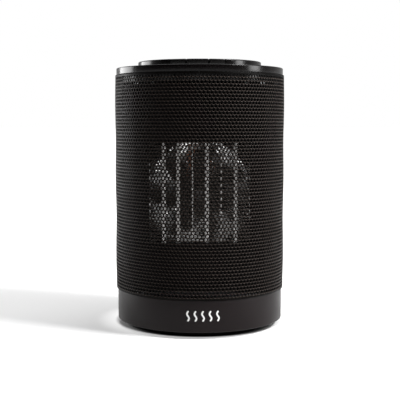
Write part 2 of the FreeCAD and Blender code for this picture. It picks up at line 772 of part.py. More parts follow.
def duct_ear(x, z):
    """A screw ear on the duct's front end, at an offset from the fan's axis."""
    front = FRAME_Y[1]
    back = front + DUCT_EAR_R
    low, high = beside(z, -2 * DUCT_EAR_R)
    web = block(x - DUCT_EAR_R, x + DUCT_EAR_R, front, back, WINDOW_Z + low, WINDOW_Z + high)
    return fused(rod_y(DUCT_EAR_R, front, back, x, WINDOW_Z + z), web)


def corner_block(x, z):
    """A block in a corner at the duct's back end, for one of the shroud's screws."""
    half_w, half_h = DUCT_HALF_W - DUCT_WALL / 2, DUCT_HALF_H - DUCT_WALL / 2
    x0, x1 = sorted((x - math.copysign(CORNER_BLOCK, x), math.copysign(half_w, x)))
    z0, z1 = sorted((z - math.copysign(CORNER_BLOCK, z), math.copysign(half_h, z)))
    return block(x0, x1, SHROUD_FRONT - CORNER_DEPTH, SHROUD_FRONT, WINDOW_Z + z0, WINDOW_Z + z1)


def air_duct():
    """A square tube round the element, open to the fan behind it."""
    front = FRAME_Y[1]
    ears = [duct_ear(x, z) for x, z in four_about(*DUCT_EAR)]
    body = fused(duct_box(front, SHROUD_FRONT), *ears).cut(duct_box(front - 1, 0, -DUCT_WALL))
    body = fused(body, *[corner_block(x, z) for x, z in four_about(*CORNER_SCREW)])
    for x, z in four_about(*DUCT_EAR):
        body = body.cut(rod_y(HOLE_3, front - 1, front + DUCT_EAR_R + 1, x, WINDOW_Z + z))
    for x, z in four_about(*CORNER_SCREW):
        body = body.cut(rod_y(PILOT_3, SHROUD_FRONT - CORNER_DEPTH + 1, SHROUD_FRONT + 1, x, WINDOW_Z + z))
    half_w, half_d = LEAD_WINDOW
    floor = WINDOW_Z - DUCT_HALF_H
    window = rounded_block(-half_w, half_w, LEAD_Y - half_d, LEAD_Y + half_d, floor - 5, floor + 5, 3)
    body = body.cut(window)
    ceiling = WINDOW_Z + DUCT_HALF_H
    return body.cut(rod_z(CUTOUT_R + 0.2, ceiling - 5, ceiling + 5, 0, CUTOUT_Y))


def fan_shroud():
    """The plate behind the duct, with the fan's ring and two arms for the motor's strap."""
    arms = []
    for x in (-MOUNT_X, MOUNT_X):
        low, high = beside(x, -8.0)
        arms.append(rod_y(ARM_R, ARM_FRONT, RING_BACK, x))
        arms.append(block(low, high, ARM_FRONT, RING_BACK, WINDOW_Z - ARM_R, WINDOW_Z + ARM_R))
    ring = rod_y(RING_R + RING_WALL, SHROUD_FRONT, RING_BACK)
    body = fused(duct_box(SHROUD_FRONT, DUCT_BACK), ring, *arms)
    body = body.cut(rod_y(RING_R, DUCT_BACK - 5, RING_BACK + 1))
    for x in (-MOUNT_X, MOUNT_X):
        body = body.cut(rod_y(PILOT_3, ARM_FRONT + 1, RING_BACK + 1, x))
    for x, z in four_about(*CORNER_SCREW):
        body = body.cut(rod_y(HOLE_3, SHROUD_FRONT - 1, DUCT_BACK + 1, x, WINDOW_Z + z))
    return body


def duct_screws():
    """Four short screws hold the duct to the frame, and four hold the shroud to the duct."""
    ears = [(x, WINDOW_Z + z) for x, z in four_about(*DUCT_EAR)]
    corners = [(x, WINDOW_Z + z) for x, z in four_about(*CORNER_SCREW)]
    screws = [screw_y(x, z, FRAME_Y[1] + DUCT_EAR_R, FRAME_Y[0] + 1, SCREW_3) for x, z in ears]
    return screws + [screw_y(x, z, DUCT_BACK, SHROUD_FRONT - 5, SCREW_3) for x, z in corners]


def frame_screws():
    floor = SHIELD_Z + SHIELD_T
    return [screw_z(x, y, floor + FRAME_SILL, SHIELD_Z - 4, SCREW_3) for x, y in FRAME_SCREWS]


# --- Ceramic heating element -----------------------------------------------------------------
def dividers():
    """The x ranges of everything that stands between two fin strips, from left to right."""
    side = 3.5 * COLUMN_PITCH
    spans = [(-side - PLATE_W, -side), (side, side + PLATE_W)]
    spans += [(x * COLUMN_PITCH - TUBE_W / 2, x * COLUMN_PITCH + TUBE_W / 2) for x in TUBE_X]
    spans += [(x * COLUMN_PITCH - PLATE_W / 2, x * COLUMN_PITCH + PLATE_W / 2) for x in PLATE_X]
    return sorted(spans)


def element_strips(wide):
    """The upright tubes, which are wide, or the thin plates."""
    half = WINDOW_H / 2 + TUBE_IN_CAP
    spans = [(a, b) for a, b in dividers() if (b - a > 2) == wide]
    edge = 0.9 if wide else 0.3
    return [
        rounded_block(a, b, PTC_FRONT, PTC_BACK, WINDOW_Z - half, WINDOW_Z + half, edge) for a, b in spans
    ]


def ptc_tubes():
    """Each flat tube is a hollow box that grips a row of ceramic stones."""
    wide, deep = STONE_W / 2 + RUNNING, STONE_D / 2 + RUNNING
    middle_y = (PTC_FRONT + PTC_BACK) / 2
    tubes = []
    for tube in element_strips(wide=True):
        x = (tube.BoundBox.XMin + tube.BoundBox.XMax) / 2
        tubes.append(tube.cut(block(x - wide, x + wide, middle_y - deep, middle_y + deep, 0, 300)))
    return tubes


def ptc_plates():
    return element_strips(wide=False)


def ptc_stones():
    """The ceramic resistors themselves, in a row in each tube."""
    middle_y = (PTC_FRONT + PTC_BACK) / 2
    pitch = STONE_H + 0.6
    low = WINDOW_Z - pitch * STONES / 2 + 0.3
    return [
        block(x * COLUMN_PITCH - STONE_W / 2, x * COLUMN_PITCH + STONE_W / 2,
              middle_y - STONE_D / 2, middle_y + STONE_D / 2, low + i * pitch, low + i * pitch + STONE_H)
        for x in TUBE_X for i in range(STONES)
    ]


def fin_strip(left, right):
    """A corrugated ribbon between two dividers, with its folds running front to back."""
    half_h = WINDOW_H / 2 - 0.3
    folds = int(2 * half_h / (FIN_WAVE / 2))
    step = 2 * half_h / folds
    places = [(left if i % 2 else right - FIN_T, WINDOW_Z - half_h + i * step) for i in range(folds + 1)]
    near = [vec(x, PTC_FRONT + 0.3, z) for x, z in places]
    far = [vec(x + FIN_T, PTC_FRONT + 0.3, z) for x, z in reversed(places)]
    outline = near + far
    return Part.Face(Part.makePolygon(outline + outline[:1])).extrude(vec(0, PTC_BACK - PTC_FRONT - 0.6, 0))


def ptc_fins():
    spans = dividers()
    pairs = zip(spans, spans[1:])
    return [fin_strip(a[1] + RUNNING, b[0] - RUNNING) for a, b in pairs]


def ptc_end_caps():
    side = 3.5 * COLUMN_PITCH + PLATE_W + 1.0
    half_h = WINDOW_H / 2
    reach = half_h + TUBE_IN_CAP + CLEAR
    caps = []
    for low in (WINDOW_Z - half_h - CAP_H, WINDOW_Z + half_h):
        cap = block(-side, side, PTC_FRONT - 2.6, PTC_BACK + 1.0, low, low + CAP_H)
        for a, b in dividers():
            cap = cap.cut(block(a - CLEAR, b + CLEAR, PTC_FRONT - CLEAR, PTC_BACK + CLEAR,
                                WINDOW_Z - reach, WINDOW_Z + reach))
        caps.append(cap)
    return caps


def ptc_terminals():
    z = WINDOW_Z - WINDOW_H / 2 - CAP_H + 2.2
    tabs = []
    for x in TAB_X:
        tab = block(x - TAB_HALF_W, x + TAB_HALF_W, PTC_BACK + 1.0, PTC_BACK + 7, z, z + 0.8)
        tabs.append(tab.cut(rod_z(0.9, z - 1, z + 2, x, PTC_BACK + 4)))
    return tabs


def element_leads():
    """Insulated wires from the element's tabs, down through the duct to the terminal block."""
    z = WINDOW_Z - WINDOW_H / 2 - CAP_H + 2.6
    leads = []
    for x, end_x in zip(TAB_X, WIRE_X):
        points = [
            vec(x, PTC_BACK + 7.2, z), vec(x, LEAD_Y, z), vec(x, LEAD_Y, LEAD_Z),
            vec(end_x, WIRE_Y, LEAD_Z), vec(end_x, WIRE_Y, BOARD_TOP + TERMINALS_H - 4),
        ]
        leads.append(bent_tube(points, LEAD_BEND, LEAD_R))
    return leads


def thermal_cutout():
    """A round bimetal switch let into the duct's ceiling, with a flange and two blades."""
    z = WINDOW_Z + DUCT_HALF_H
    flange = rounded_block(-14, 14, CUTOUT_Y - 4, CUTOUT_Y + 4, z, z + 0.8, 3)
    blades = [block(x - 2, x + 2, CUTOUT_Y - 0.4, CUTOUT_Y + 0.4, z + 5, z + 12) for x in (-4.5, 4.5)]
    return fused(rod_z(CUTOUT_R, z - 1.8, z + 5.2, 0, CUTOUT_Y), flange, *blades)


def thermal_fuse():
    """A small fuse standing beside the duct, with a wire at each end."""
    x = DUCT_HALF_W + 2.3
    case = rod_z(2.0, WINDOW_Z - 6, WINDOW_Z + 6, x, CUTOUT_Y + 1)
    return fused(case, rod_z(0.5, WINDOW_Z - 14, WINDOW_Z + 14, x, CUTOUT_Y + 1))


# --- Fan and motor ---------------------------------------------------------------------------
def fan_impeller():
    hub = rod_y(FAN_HUB_R, 0, FAN_BACK).cut(rod_y(FAN_HUB_R - 2, 2, FAN_BACK + 1))
    hub = fused(hub, rod_y(FAN_BUSH_R, 0, FAN_BACK))
    blades = []
    for i in range(BLADES):
        plate = block(-BLADE_T / 2, BLADE_T / 2, -BLADE_CHORD / 2, BLADE_CHORD / 2, FAN_HUB_R - 1, FAN_R + 4)
        plate.rotate(vec(0, 0, 0), vec(0, 0, 1), 90 - BLADE_PITCH)
        plate.rotate(vec(0, 0, 0), vec(0, 1, 0), 360.0 * i / BLADES)
        plate.translate(vec(0, FAN_BACK / 2, WINDOW_Z))
        blades.append(plate.common(rod_y(FAN_R, 0.5, FAN_BACK - 0.5)))
    return fused(hub, *blades).cut(rod_y(SHAFT_R + 0.01, -5, 60))


def motor_shaft():
    return rod_y(SHAFT_R, *SHAFT_Y)


def fan_clip():
    return rod_y(FAN_BUSH_R, *CLIP_Y).cut(rod_y(SHAFT_R + 0.01, -5, 5))


def motor_rotor():
    body = rod_y(ROTOR_R, STACK_Y[0] - 0.5, STACK_Y[1] + 0.5)
    return body.cut(rod_y(SHAFT_R + 0.01, 0, 60))


def motor_laminations():
    """The shaded-pole core: a closed frame with the rotor's bore and the coil's window."""
    body = block(-STACK_HALF_W, STACK_HALF_W, *STACK_Y, *STACK_Z)
    body = body.cut(rod_y(STATOR_BORE, 0, 60))
    half_w, low, high = COIL_WINDOW
    body = body.cut(block(-half_w, half_w, 0, 60, low, high))
    for x in (-MOTOR_SCREW_X, MOTOR_SCREW_X):
        body = body.cut(rod_y(HOLE_3, 0, 60, x))
    return body


def motor_coil():
    """The coil, with a square hole for the leg of the core that it is wound on."""
    front, back = STACK_Y
    leg = block(-STACK_HALF_W, STACK_HALF_W, front - 0.2, back + 0.2, COIL_WINDOW[2] - 0.2, STACK_Z[1] + 0.2)
    body = block(-COIL_HALF_W, COIL_HALF_W, front - COIL_PROUD, back + COIL_PROUD, *COIL_Z)
    long_edges = [e for e in body.Edges if abs(e.tangentAt(e.FirstParameter).x) > 0.99]
    body = body.makeFillet(3.0, long_edges)
    return body.cut(leg)


def bearing_bracket(y, outward):
    """A strap across the core with a bearing pocket that bulges outward."""
    low, high = sorted((y, y + outward * (BEARING_W + 0.2)))
    plate_low, plate_high = sorted((y, y + outward * BRACKET_T))
    half_w, half_h = BRACKET_HALF
    strap = block(-half_w, half_w, plate_low, plate_high, WINDOW_Z - half_h, WINDOW_Z + half_h)
    pocket = rod_y(BEARING_R + CLEAR, 0, 60)
    body = fused(strap, rod_y(BEARING_R + 1.7, low, high)).cut(pocket)
    for x in (-MOTOR_SCREW_X, MOTOR_SCREW_X):
        body = body.cut(rod_y(HOLE_3, 0, 60, x))
    return body


def motor_brackets():
    front, back = BRACKET_Y
    return [bearing_bracket(front, -1), bearing_bracket(back, 1)]


def motor_bearings():
    front, back = BRACKET_Y
    shaft = rod_y(SHAFT_R + RUNNING, 0, 60)
    return [rod_y(BEARING_R, y, y + BEARING_W).cut(shaft) for y in (front - BEARING_W - CLEAR, back + CLEAR)]


def motor_spacers():
    front, back = BRACKET_Y
    spans = ((RING_BACK + STRAP_T, front - BRACKET_T), (front, STACK_Y[0]), (STACK_Y[1], back))
    return [
        rod_y(SCREW_3[1], low, high, x).cut(rod_y(HOLE_3, 0, 60, x))
        for x in (-MOTOR_SCREW_X, MOTOR_SCREW_X) for low, high in spans
    ]


def motor_mount():
    """The steel strap across the fan ring that carries the motor."""
    half_w, half_h = MOUNT_HALF
    body = block(-half_w, half_w, RING_BACK, RING_BACK + STRAP_T, WINDOW_Z - half_h, WINDOW_Z + half_h)
    body = body.cut(rod_y(BEARING_R + 3.5, 0, 60))
    for x in (-MOUNT_X, -MOTOR_SCREW_X, MOTOR_SCREW_X, MOUNT_X):
        body = body.cut(rod_y(HOLE_3, 0, 60, x))
    return body


def motor_screws():
    """Two long screws hold the motor to its strap, and two short ones hold the strap to the shroud."""
    back = BRACKET_Y[1] + BRACKET_T
    through = [screw_y(x, WINDOW_Z, back, RING_BACK - 1, SCREW_3) for x in (-MOTOR_SCREW_X, MOTOR_SCREW_X)]
    seat = RING_BACK + STRAP_T
    short = [screw_y(x, WINDOW_Z, seat, ARM_FRONT + 2, SCREW_3) for x in (-MOUNT_X, MOUNT_X)]
    return through + short


# --- Nodes and export ------------------------------------------------------------------------
SINGLE_NODES = (
    foot_plate, slide_ring, pivot_hub, foot_gear, base_ring, base_floor, cord_gland, heat_shield,
    swing_motor, swing_shaft, swing_pinion, tip_switch_case, tip_switch_cap, tip_ball, power_board,
    board_capacitor, terminal_block, grille, top_cover, control_disc, display_lens, display_module,
    control_board, front_frame, air_duct, fan_shroud, thermal_cutout, thermal_fuse, fan_impeller,
    motor_shaft, fan_clip, motor_rotor, motor_laminations, motor_coil, motor_mount,
)
GROUP_NODES = (
    foot_pads, hub_screws, tie_rods, swing_motor_screws, relays, board_screws, tact_switches,
    panel_screws, duct_screws, frame_screws, ptc_tubes, ptc_plates, ptc_stones, ptc_fins,
    ptc_end_caps, ptc_terminals, element_leads, motor_brackets, motor_bearings, motor_spacers,
    motor_screws,
)


def save(node, solids):
    """Writes one node and says what it holds, so that a broken solid shows at once."""
    shape = solids[0] if len(solids) == 1 else Part.makeCompound(solids)
    sound = shape.isValid() and all(len(s.Solids) == 1 for s in solids)
    print(f"{node:20s} {len(shape.Solids):3d} solids {shape.Volume:12.1f} mm3 {'' if sound else 'BROKEN'}")
    shape.exportStep(f"parts/{node}.step")


def main():
    os.makedirs("parts", exist_ok=True)
    for make in SINGLE_NODES:
        save(make.__name__, [make()])
    for make in GROUP_NODES:
        save(make.__name__, make())
    for name in BUTTON_SPANS:
        save(name, [button(name)])


main()
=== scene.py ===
import json
import math
import random

import bmesh
import bpy
import numpy as np
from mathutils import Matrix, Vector


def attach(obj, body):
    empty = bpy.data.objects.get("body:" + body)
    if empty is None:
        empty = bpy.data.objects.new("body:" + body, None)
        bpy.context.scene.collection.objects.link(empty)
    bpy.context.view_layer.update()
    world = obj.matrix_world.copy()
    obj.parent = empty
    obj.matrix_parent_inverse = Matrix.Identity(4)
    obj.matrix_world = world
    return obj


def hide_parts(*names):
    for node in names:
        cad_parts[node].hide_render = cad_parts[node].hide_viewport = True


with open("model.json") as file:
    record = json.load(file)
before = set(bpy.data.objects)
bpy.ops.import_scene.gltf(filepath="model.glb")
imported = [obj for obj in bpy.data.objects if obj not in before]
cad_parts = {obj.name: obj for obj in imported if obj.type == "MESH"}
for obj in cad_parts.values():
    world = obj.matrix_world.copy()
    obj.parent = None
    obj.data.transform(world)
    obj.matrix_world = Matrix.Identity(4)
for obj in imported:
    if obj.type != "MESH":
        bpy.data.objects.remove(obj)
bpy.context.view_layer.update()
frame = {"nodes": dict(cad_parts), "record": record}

# Looks for the ceramic space heater, built round its CAD frame. Lengths below are millimetres in the
# CAD frame and are turned to metres by MM: +Z up, -Y the front, origin on the floor under the axis.
MM = 0.001

# --- Perforated sleeve --------------------------------------------------------------------------
SLEEVE_R = 79.4
SLEEVE_T = 0.8
SLEEVE_Z = (34.5, 233.6)
SLEEVE_HEM = 3.8
HEM_ROLL = 0.6
# How far past the sheet's edge each ring of the hem lies on the flat bake map, going out and coming in.
HEM_RUN_OUT = (0.0, 0.3, 0.8, 1.3)
HEM_RUN_IN = (8.2, 4.4, 3.5, 0.3, 0.0)
HOLES_ROUND = 144
HOLE_ROWS = 66
HOLE_R = 1.25
HOLE_EDGE = (0.3, 0.22)
# Painted highlight on the lower edge of every hole, standing in for light from above: how tightly it gathers
# at the bottom of the hole.
LIP_HIGHLIGHT_SPREAD = 2
SECTORS = 6
COAT = (0.001, 0.0007, 0.0006)
# Painted highlight: the lighter colour painted on the lower edge of every hole.
LIP_HIGHLIGHT_PAINT = (0.062, 0.048, 0.041)
RIPPLE = 0.3
RIPPLE_PERIOD = 68.5
RIPPLE_CREST = 206.0
RIPPLE_VARIES = 0.2
RIPPLE_TURN = 1
HOLE_PITCH = 2 * math.pi * SLEEVE_R / HOLES_ROUND
ROW_RATIO = 0.853
ROW_PITCH = HOLE_PITCH * ROW_RATIO
# Twelve points round one hole's six-sided cell: quarters of the pitch across, sixths of the row pitch up.
CELL = ((2, 0), (2, 2), (1, 3), (0, 4), (-1, 3), (-2, 2),
        (-2, 0), (-2, -2), (-1, -3), (0, -4), (1, -3), (2, -2))
TOP_OF_CELL = (5, 4, 3, 2, 1)
BOTTOM_OF_CELL = (7, 8, 9, 10, 11)
# The flat bake map: the outer face on its left half, the inner face on its right, spare height at both
# ends, and a spot in the spare height for the hidden edges. A hole's wall is drawn as a ring inside it.
BAKE_WIDTH = 0.47
BAKE_OUTER = 0.01
BAKE_INNER = 0.52
BAKE_SPARE = 10.0
BAKE_SPOT_Z = SLEEVE_Z[0] - 9.5
BAKE_WALL = 0.5

# --- Base, cover and control disc ---------------------------------------------------------------
BASE_R = 77.6
BASE_EDGE = 0.9
BASE_TOP_EDGE = 0.5
BASE_Z = (6.0, 34.5)
BASE_FLOOR_TOP = 8.2
SKIRT_R = 73.0
LIP_R = 70.8
LIP_TOP = 10.2
WALL = 2.2
GLAND_HALF_W = 6.05
GLAND_Z = 21.0
GLAND_SLOT_Y = (60, 90)
FOOT_R = 66.0
FOOT_Z = (1.2, 5.3)
FOOT_BORE_R = 9.0
FOOT_EDGES = (1.6, 0.8)
RAIL_R = (49.9, 58.1)
RAIL_FLOOR = 4.2
COVER_R = 77.9
COVER_EDGE = 0.8
COVER_T = 2.4
COVER_Z = (233.6, 239.8)
COVER_HOLE_R = 50.5
COVER_SKIRT = (73.0, 75.0)
COVER_SKIRT_DROP = 7.5
COVER_SKIRT_EDGE = 0.5
COVER_UNDER_EDGE = 0.4
DISC_R = 57.5
DISC_TOP = 245.7
DISC_T = 2.0
DISC_EDGE = 1.0
RIM_LOW_EDGE = 0.3
LENS = (34.0, 18.0)
LENS_T = 1.4
LENS_GAP = 0.1
POCKET_TOP = 260
KEY_INNER_R = 40.0
KEY_SKIRT = 240.8
KEY_EASE = 0.22
KEY_GAP = 0.3
KEY_GAP_ANGLE = 0.5
KEY_GAP_Z = (235, 250)
KEY_SPANS = {
    "heat_button": (243.0, 257.4),
    "power_button": (258.6, 277.6),
    "swing_button": (278.8, 293.2),
}

# --- Heating element ----------------------------------------------------------------------------
WINDOW_Z = 126.0
WINDOW_H = 91.0
COLUMN = 13.0
TUBES = (-2.5, -1.5, 0.5, 2.5)
PLATES = (-0.5, 1.5)
TUBE_W = 4.0
PLATE_W = 1.2
END_COLUMN = 3.5
END_INSET = 0.6
FIN_Y = (-41.7, -26.3)
FIN_FOLD = 1.3
FIN_T = 0.12
FIN_CLEAR = 0.12
FIN_MARGIN = 0.3
FIN_CREST = 0.34
# One bend of the foil: places up it in crest heights, and how far each stands off the divider.
FIN_BEND = ((-1.0, 0.42), (-0.62, 0.1), (0.0, 0.0), (0.62, 0.1), (1.0, 0.42))
FIN_LIFT = 0.1
FIN_LEAN = 0.18
FIN_SEED = 40
FIN_SHARP = 60

# --- Fan ----------------------------------------------------------------------------------------
FAN_R = 46.0
FAN_HUB_R = 13.0
FAN_Y = (0.0, 14.0)
FAN_BORE_R = 1.6
FAN_BOSS_R = 3.6
FAN_HUB_INNER_R = 11
FAN_HUB_FACE = 2
BLADES = 7
BLADE_SPANS = 9
BLADE_CHORDS = 9
BLADE_SUNK = 0.6
BLADE_REACH = 0.2
BLADE_PITCH = 44
BLADE_TWIST = 16
BLADE_CHORD = (15.0, 7.5)
BLADE_SWEEP = 14
BLADE_CAMBER = 1.6
BLADE_THICK = (0.35, 0.45)
BLADE_HALF_DEPTH = 6.4

# --- Printed marks --------------------------------------------------------------------------------
MARK_X = 3.0
MARK_PITCH = 6.6
MARK_Z = (16.8, 24.8)
MARK_SWAY = 0.9
MARK_STROKE = 1.5
ICON_R = 48.5
ICON_STROKE = 0.55
END_STEPS = 5
INK_T = 0.06
KEY_TOP = DISC_TOP - INK_T

# --- Camera -------------------------------------------------------------------------------------
CAMERA_AT = (0.33, -866.2, 189.5)
CAMERA_DOWN = 4.825
CAMERA_LENS = 82.33
CAMERA_SENSOR = 36.0

# --- Studio: light levels, where 1 is the white of the background ---------------------------------
# Painted light: the floor's glow near the heater, and how far behind the axis the centre of its glow lies.
FLOOR_GLOW = 0.18
GLOW_BACK = 0.0125
ROOM_FRONT = 0.02
ROOM_LEFT = 0.5
ROOM_RIGHT = 0.72
ROOM_DEPTH = (-0.4, 0.5)
ROOM_SIDE = (-0.6, 0.6)
FLOOR_HALF = 30.0
FLOOR_WHITE = 0.86
# Painted shadow: the floor's colour under the heater's foot.
FLOOR_SHADOW_PAINT = 0.02
# Distances from the heater in metres, with the floor's glow and its colour at each. The glow is painted
# light: none close round the heater, a brighter ring just round it, and full white far off. The dark colour
# under the foot is a painted shadow.
GLOW_STOPS = ((0.079, 0.0), (0.082, 0.5), (0.1, FLOOR_GLOW), (0.4, FLOOR_GLOW), (1.0, 1.0))
SHADOW_PAINT_STOPS = ((0.066, FLOOR_SHADOW_PAINT), (0.069, FLOOR_WHITE))
# Area lights in metres and watts: name, place, aim, size, power.
LIGHTS = (
    ("key_right", (1.1, -0.5, 1.3), (0, 0, 0.1), (0.4, 0.4), 34),
    ("fill_right", (1.35, -0.3, 0.4), (0, 0, 0.1), (0.4, 0.4), 7),
    ("strip_left", (-1.25, 0.7, 0.3), (0, 0, 0.15), (0.9, 0.46), 12),
    ("soft_top", (0.0, 0.25, 1.6), (0, 0, 0), (1.4, 1.4), 12),
)

# --- Shared ---------------------------------------------------------------------------------------
SHARP_ANGLE = 35.0
EASED_SHARP = 50
WELD = 1e-7
NOISE_SPAN = (0.3, 0.7)


# --- Mesh helpers -------------------------------------------------------------------------------
def add_object(name, mesh, body, slot, material, *nodes):
    """Puts a finished mesh in the scene, riding on a CAD body in place of the nodes it stands for."""
    piece = bpy.data.objects.new(name, mesh)
    bpy.context.scene.collection.objects.link(piece)
    mesh.materials.append(material)
    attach(piece, body)
    if nodes:
        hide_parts(*nodes)
    return piece


def mesh_from(name, points, faces, sharp_above=SHARP_ANGLE):
    """A mesh in metres from points in millimetres, smooth except at edges sharper than the angle."""
    mesh = bpy.data.meshes.new(name)
    mesh.from_pydata([tuple(c * MM for c in p) for p in points], [], faces)
    work = bmesh.new()
    work.from_mesh(mesh)
    bmesh.ops.remove_doubles(work, verts=work.verts, dist=WELD)
    bmesh.ops.recalc_face_normals(work, faces=work.faces)
    work.to_mesh(mesh)
    work.free()
    soften(mesh, sharp_above)
    return mesh


def soften(mesh, sharp_above=SHARP_ANGLE):
    mesh.polygons.foreach_set("use_smooth", [True] * len(mesh.polygons))
    mesh.set_sharp_from_angle(angle=math.radians(sharp_above))


def rounded(corners, pieces=6):
    """A closed outline of (radius, z) points from (radius, z, corner radius) corners."""
    outline = []
    count = len(corners)
    for i, (r, z, radius) in enumerate(corners):
        here = Vector((r, z))
        before = Vector(corners[i - 1][:2]) - here
        after = Vector(corners[(i + 1) % count][:2]) - here
        if not radius:
            outline.append(here)
            continue
        before.normalize()
        after.normalize()
        half = before.angle(after) / 2
        centre = here + (before + after).normalized() * (radius / math.sin(half))
        start = here + before * (radius / math.tan(half)) - centre
        end = here + after * (radius / math.tan(half)) - centre
        for step in range(pieces + 1):
            outline.append(centre + start.slerp(end, step / pieces).normalized() * radius)
    return [(p.x, p.y) for p in outline]


def turned(name, corners, start=0.0, end=360.0, steps=192):
    """A solid of revolution about the Z axis; a part turn gets flat ends."""
    outline = rounded(corners)
    whole = end - start >= 360
    stops = steps if whole else steps + 1
    angles = [math.radians(start + (end - start) * i / steps) for i in range(stops)]
    points = [(r * math.cos(a), r * math.sin(a), z) for a in angles for r, z in outline]
    n = len(outline)
    faces = []
    for i in range(steps):
        near, far = i * n, (i + 1) % stops * n
        faces += [(near + j, far + j, far + (j + 1) % n, near + (j + 1) % n) for j in range(n)]
    if not whole:
        faces += [tuple(range(n)), tuple(range((stops - 1) * n, stops * n))]
    return mesh_from(name, points, faces)


def block_mesh(name, low, high):
    work = bmesh.new()
    bmesh.ops.create_cube(work, size=1.0)
    size = Vector(high) - Vector(low)
    middle = (Vector(high) + Vector(low)) / 2
    for v in work.verts:
        v.co = Vector([v.co[i] * size[i] + middle[i] for i in range(3)]) * MM
    mesh = bpy.data.meshes.new(name)
    work.to_mesh(mesh)
    work.free()
    return mesh


def carve(mesh, *cutters):
    """The mesh with the cutters' volumes taken away."""
    body = bpy.data.objects.new("carve_body", mesh)
    bpy.context.scene.collection.objects.link(body)
    tools = []
    for cutter in cutters:
        tool = bpy.data.objects.new("carve_tool", cutter)
        bpy.context.scene.collection.objects.link(tool)
        tools.append(tool)
        step = body.modifiers.new("cut", "BOOLEAN")
        step.operation = "DIFFERENCE"
        step.solver = "EXACT"
        step.object = tool
    bpy.context.view_layer.update()
    done = bpy.data.meshes.new_from_object(body.evaluated_get(bpy.context.evaluated_depsgraph_get()))
    for item in [body] + tools:
        bpy.data.objects.remove(item)
    done.materials.clear()
    soften(done)
    return done


def eased(mesh, width):
    """The mesh with its sharp edges rounded over."""
    work = bmesh.new()
    work.from_mesh(mesh)
    bmesh.ops.dissolve_degenerate(work, dist=WELD, edges=work.edges)
    limit = math.radians(SHARP_ANGLE)
    sharp = [e for e in work.edges if e.is_manifold and e.calc_face_angle(0) > limit]
    bmesh.ops.bevel(work, geom=sharp, offset=width * MM, segments=2, affect="EDGES", clamp_overlap=True)
    work.to_mesh(mesh)
    work.free()
    soften(mesh, EASED_SHARP)
    return mesh


# --- Materials ----------------------------------------------------------------------------------
def new_material(name, colour, roughness, metallic=0.0, specular=0.5):
    material = bpy.data.materials.new(name)
    material.use_nodes = True
    shader = material.node_tree.nodes["Principled BSDF"]
    shader.inputs["Base Color"].default_value = (*colour, 1)
    shader.inputs["Roughness"].default_value = roughness
    shader.inputs["Metallic"].default_value = metallic
    shader.inputs["Specular IOR Level"].default_value = specular
    return material, shader


def noise(material, scale, detail=2.0, stretch=(1, 1, 1)):
    """Noise in the piece's own frame; scale is in waves per metre."""
    tree = material.node_tree
    place = tree.nodes.new("ShaderNodeTexCoord")
    mapping = tree.nodes.new("ShaderNodeMapping")
    mapping.inputs["Scale"].default_value = stretch
    texture = tree.nodes.new("ShaderNodeTexNoise")
    texture.inputs["Scale"].default_value = scale
    texture.inputs["Detail"].default_value = detail
    tree.links.new(place.outputs["Object"], mapping.inputs["Vector"])
    tree.links.new(mapping.outputs["Vector"], texture.inputs["Vector"])
    return texture.outputs["Fac"]


def mapped(tree, value, given, wanted):
    """A value carried from one range to another and held at its ends."""
    node = tree.nodes.new("ShaderNodeMapRange")
    for name, level in zip(("From Min", "From Max", "To Min", "To Max"), (*given, *wanted)):
        node.inputs[name].default_value = level
    tree.links.new(value, node.inputs["Value"])
    return node.outputs["Result"]


def mottle(material, shader, dark, light, scale):
    """Slow colour change from one tone to another."""
    tree = material.node_tree
    ramp = tree.nodes.new("ShaderNodeMix")
    ramp.data_type = "RGBA"
    ramp.inputs["A"].default_value = (*dark, 1)
    ramp.inputs["B"].default_value = (*light, 1)
    share = mapped(tree, noise(material, scale), NOISE_SPAN, (0, 1))
    tree.links.new(share, ramp.inputs["Factor"])
    tree.links.new(ramp.outputs["Result"], shader.inputs["Base Color"])


def grain(material, shader, scale, height, strength, stretch=(1, 1, 1)):
    """Fine surface relief; height is in metres."""
    tree = material.node_tree
    bump = tree.nodes.new("ShaderNodeBump")
    bump.inputs["Strength"].default_value = strength
    bump.inputs["Distance"].default_value = height
    tree.links.new(noise(material, scale, 3.0, stretch), bump.inputs["Height"])
    tree.links.new(bump.outputs["Normal"], shader.inputs["Normal"])


def uneven_gloss(material, shader, low, high, scale, stretch=(1, 1, 1)):
    """Slow change of gloss between two roughnesses."""
    tree = material.node_tree
    value = mapped(tree, noise(material, scale, stretch=stretch), NOISE_SPAN, (low, high))
    tree.links.new(value, shader.inputs["Roughness"])


def powder_coat():
    """Matte black powder coat, with a painted highlight: the lower edge of every hole is painted lighter, as
    light from above would catch it.
    """
    material, shader = new_material("grille_steel", COAT, 0.42, specular=0.05)
    uneven_gloss(material, shader, 0.36, 0.5, 60)
    grain(material, shader, 900, 0.00004, 0.5)
    tree = material.node_tree
    # Painted highlight: the lighter colour is mixed in where the mesh marks the lower edge of a hole.
    lip_highlight = tree.nodes.new("ShaderNodeAttribute")
    lip_highlight.attribute_name = "lip_highlight"
    mix = tree.nodes.new("ShaderNodeMix")
    mix.data_type = "RGBA"
    mix.inputs["A"].default_value = (*COAT, 1)
    mix.inputs["B"].default_value = (*LIP_HIGHLIGHT_PAINT, 1)
    tree.links.new(lip_highlight.outputs["Fac"], mix.inputs["Factor"])
    tree.links.new(mix.outputs["Result"], shader.inputs["Base Color"])
    return material


def moulded(name, colour, roughness, relief=0.00002, scale=1400, specular=0.5):
    """Moulded plastic with a fine spark-eroded grain, a little lighter where it has been handled."""
    material, shader = new_material(name, colour, roughness, specular=specular)
    mottle(material, shader, colour, tuple(c * 1.25 for c in colour), 22)
    uneven_gloss(material, shader, roughness * 0.92, min(1.0, roughness * 1.1), 45)
    grain(material, shader, scale, relief, 0.6)
    return material


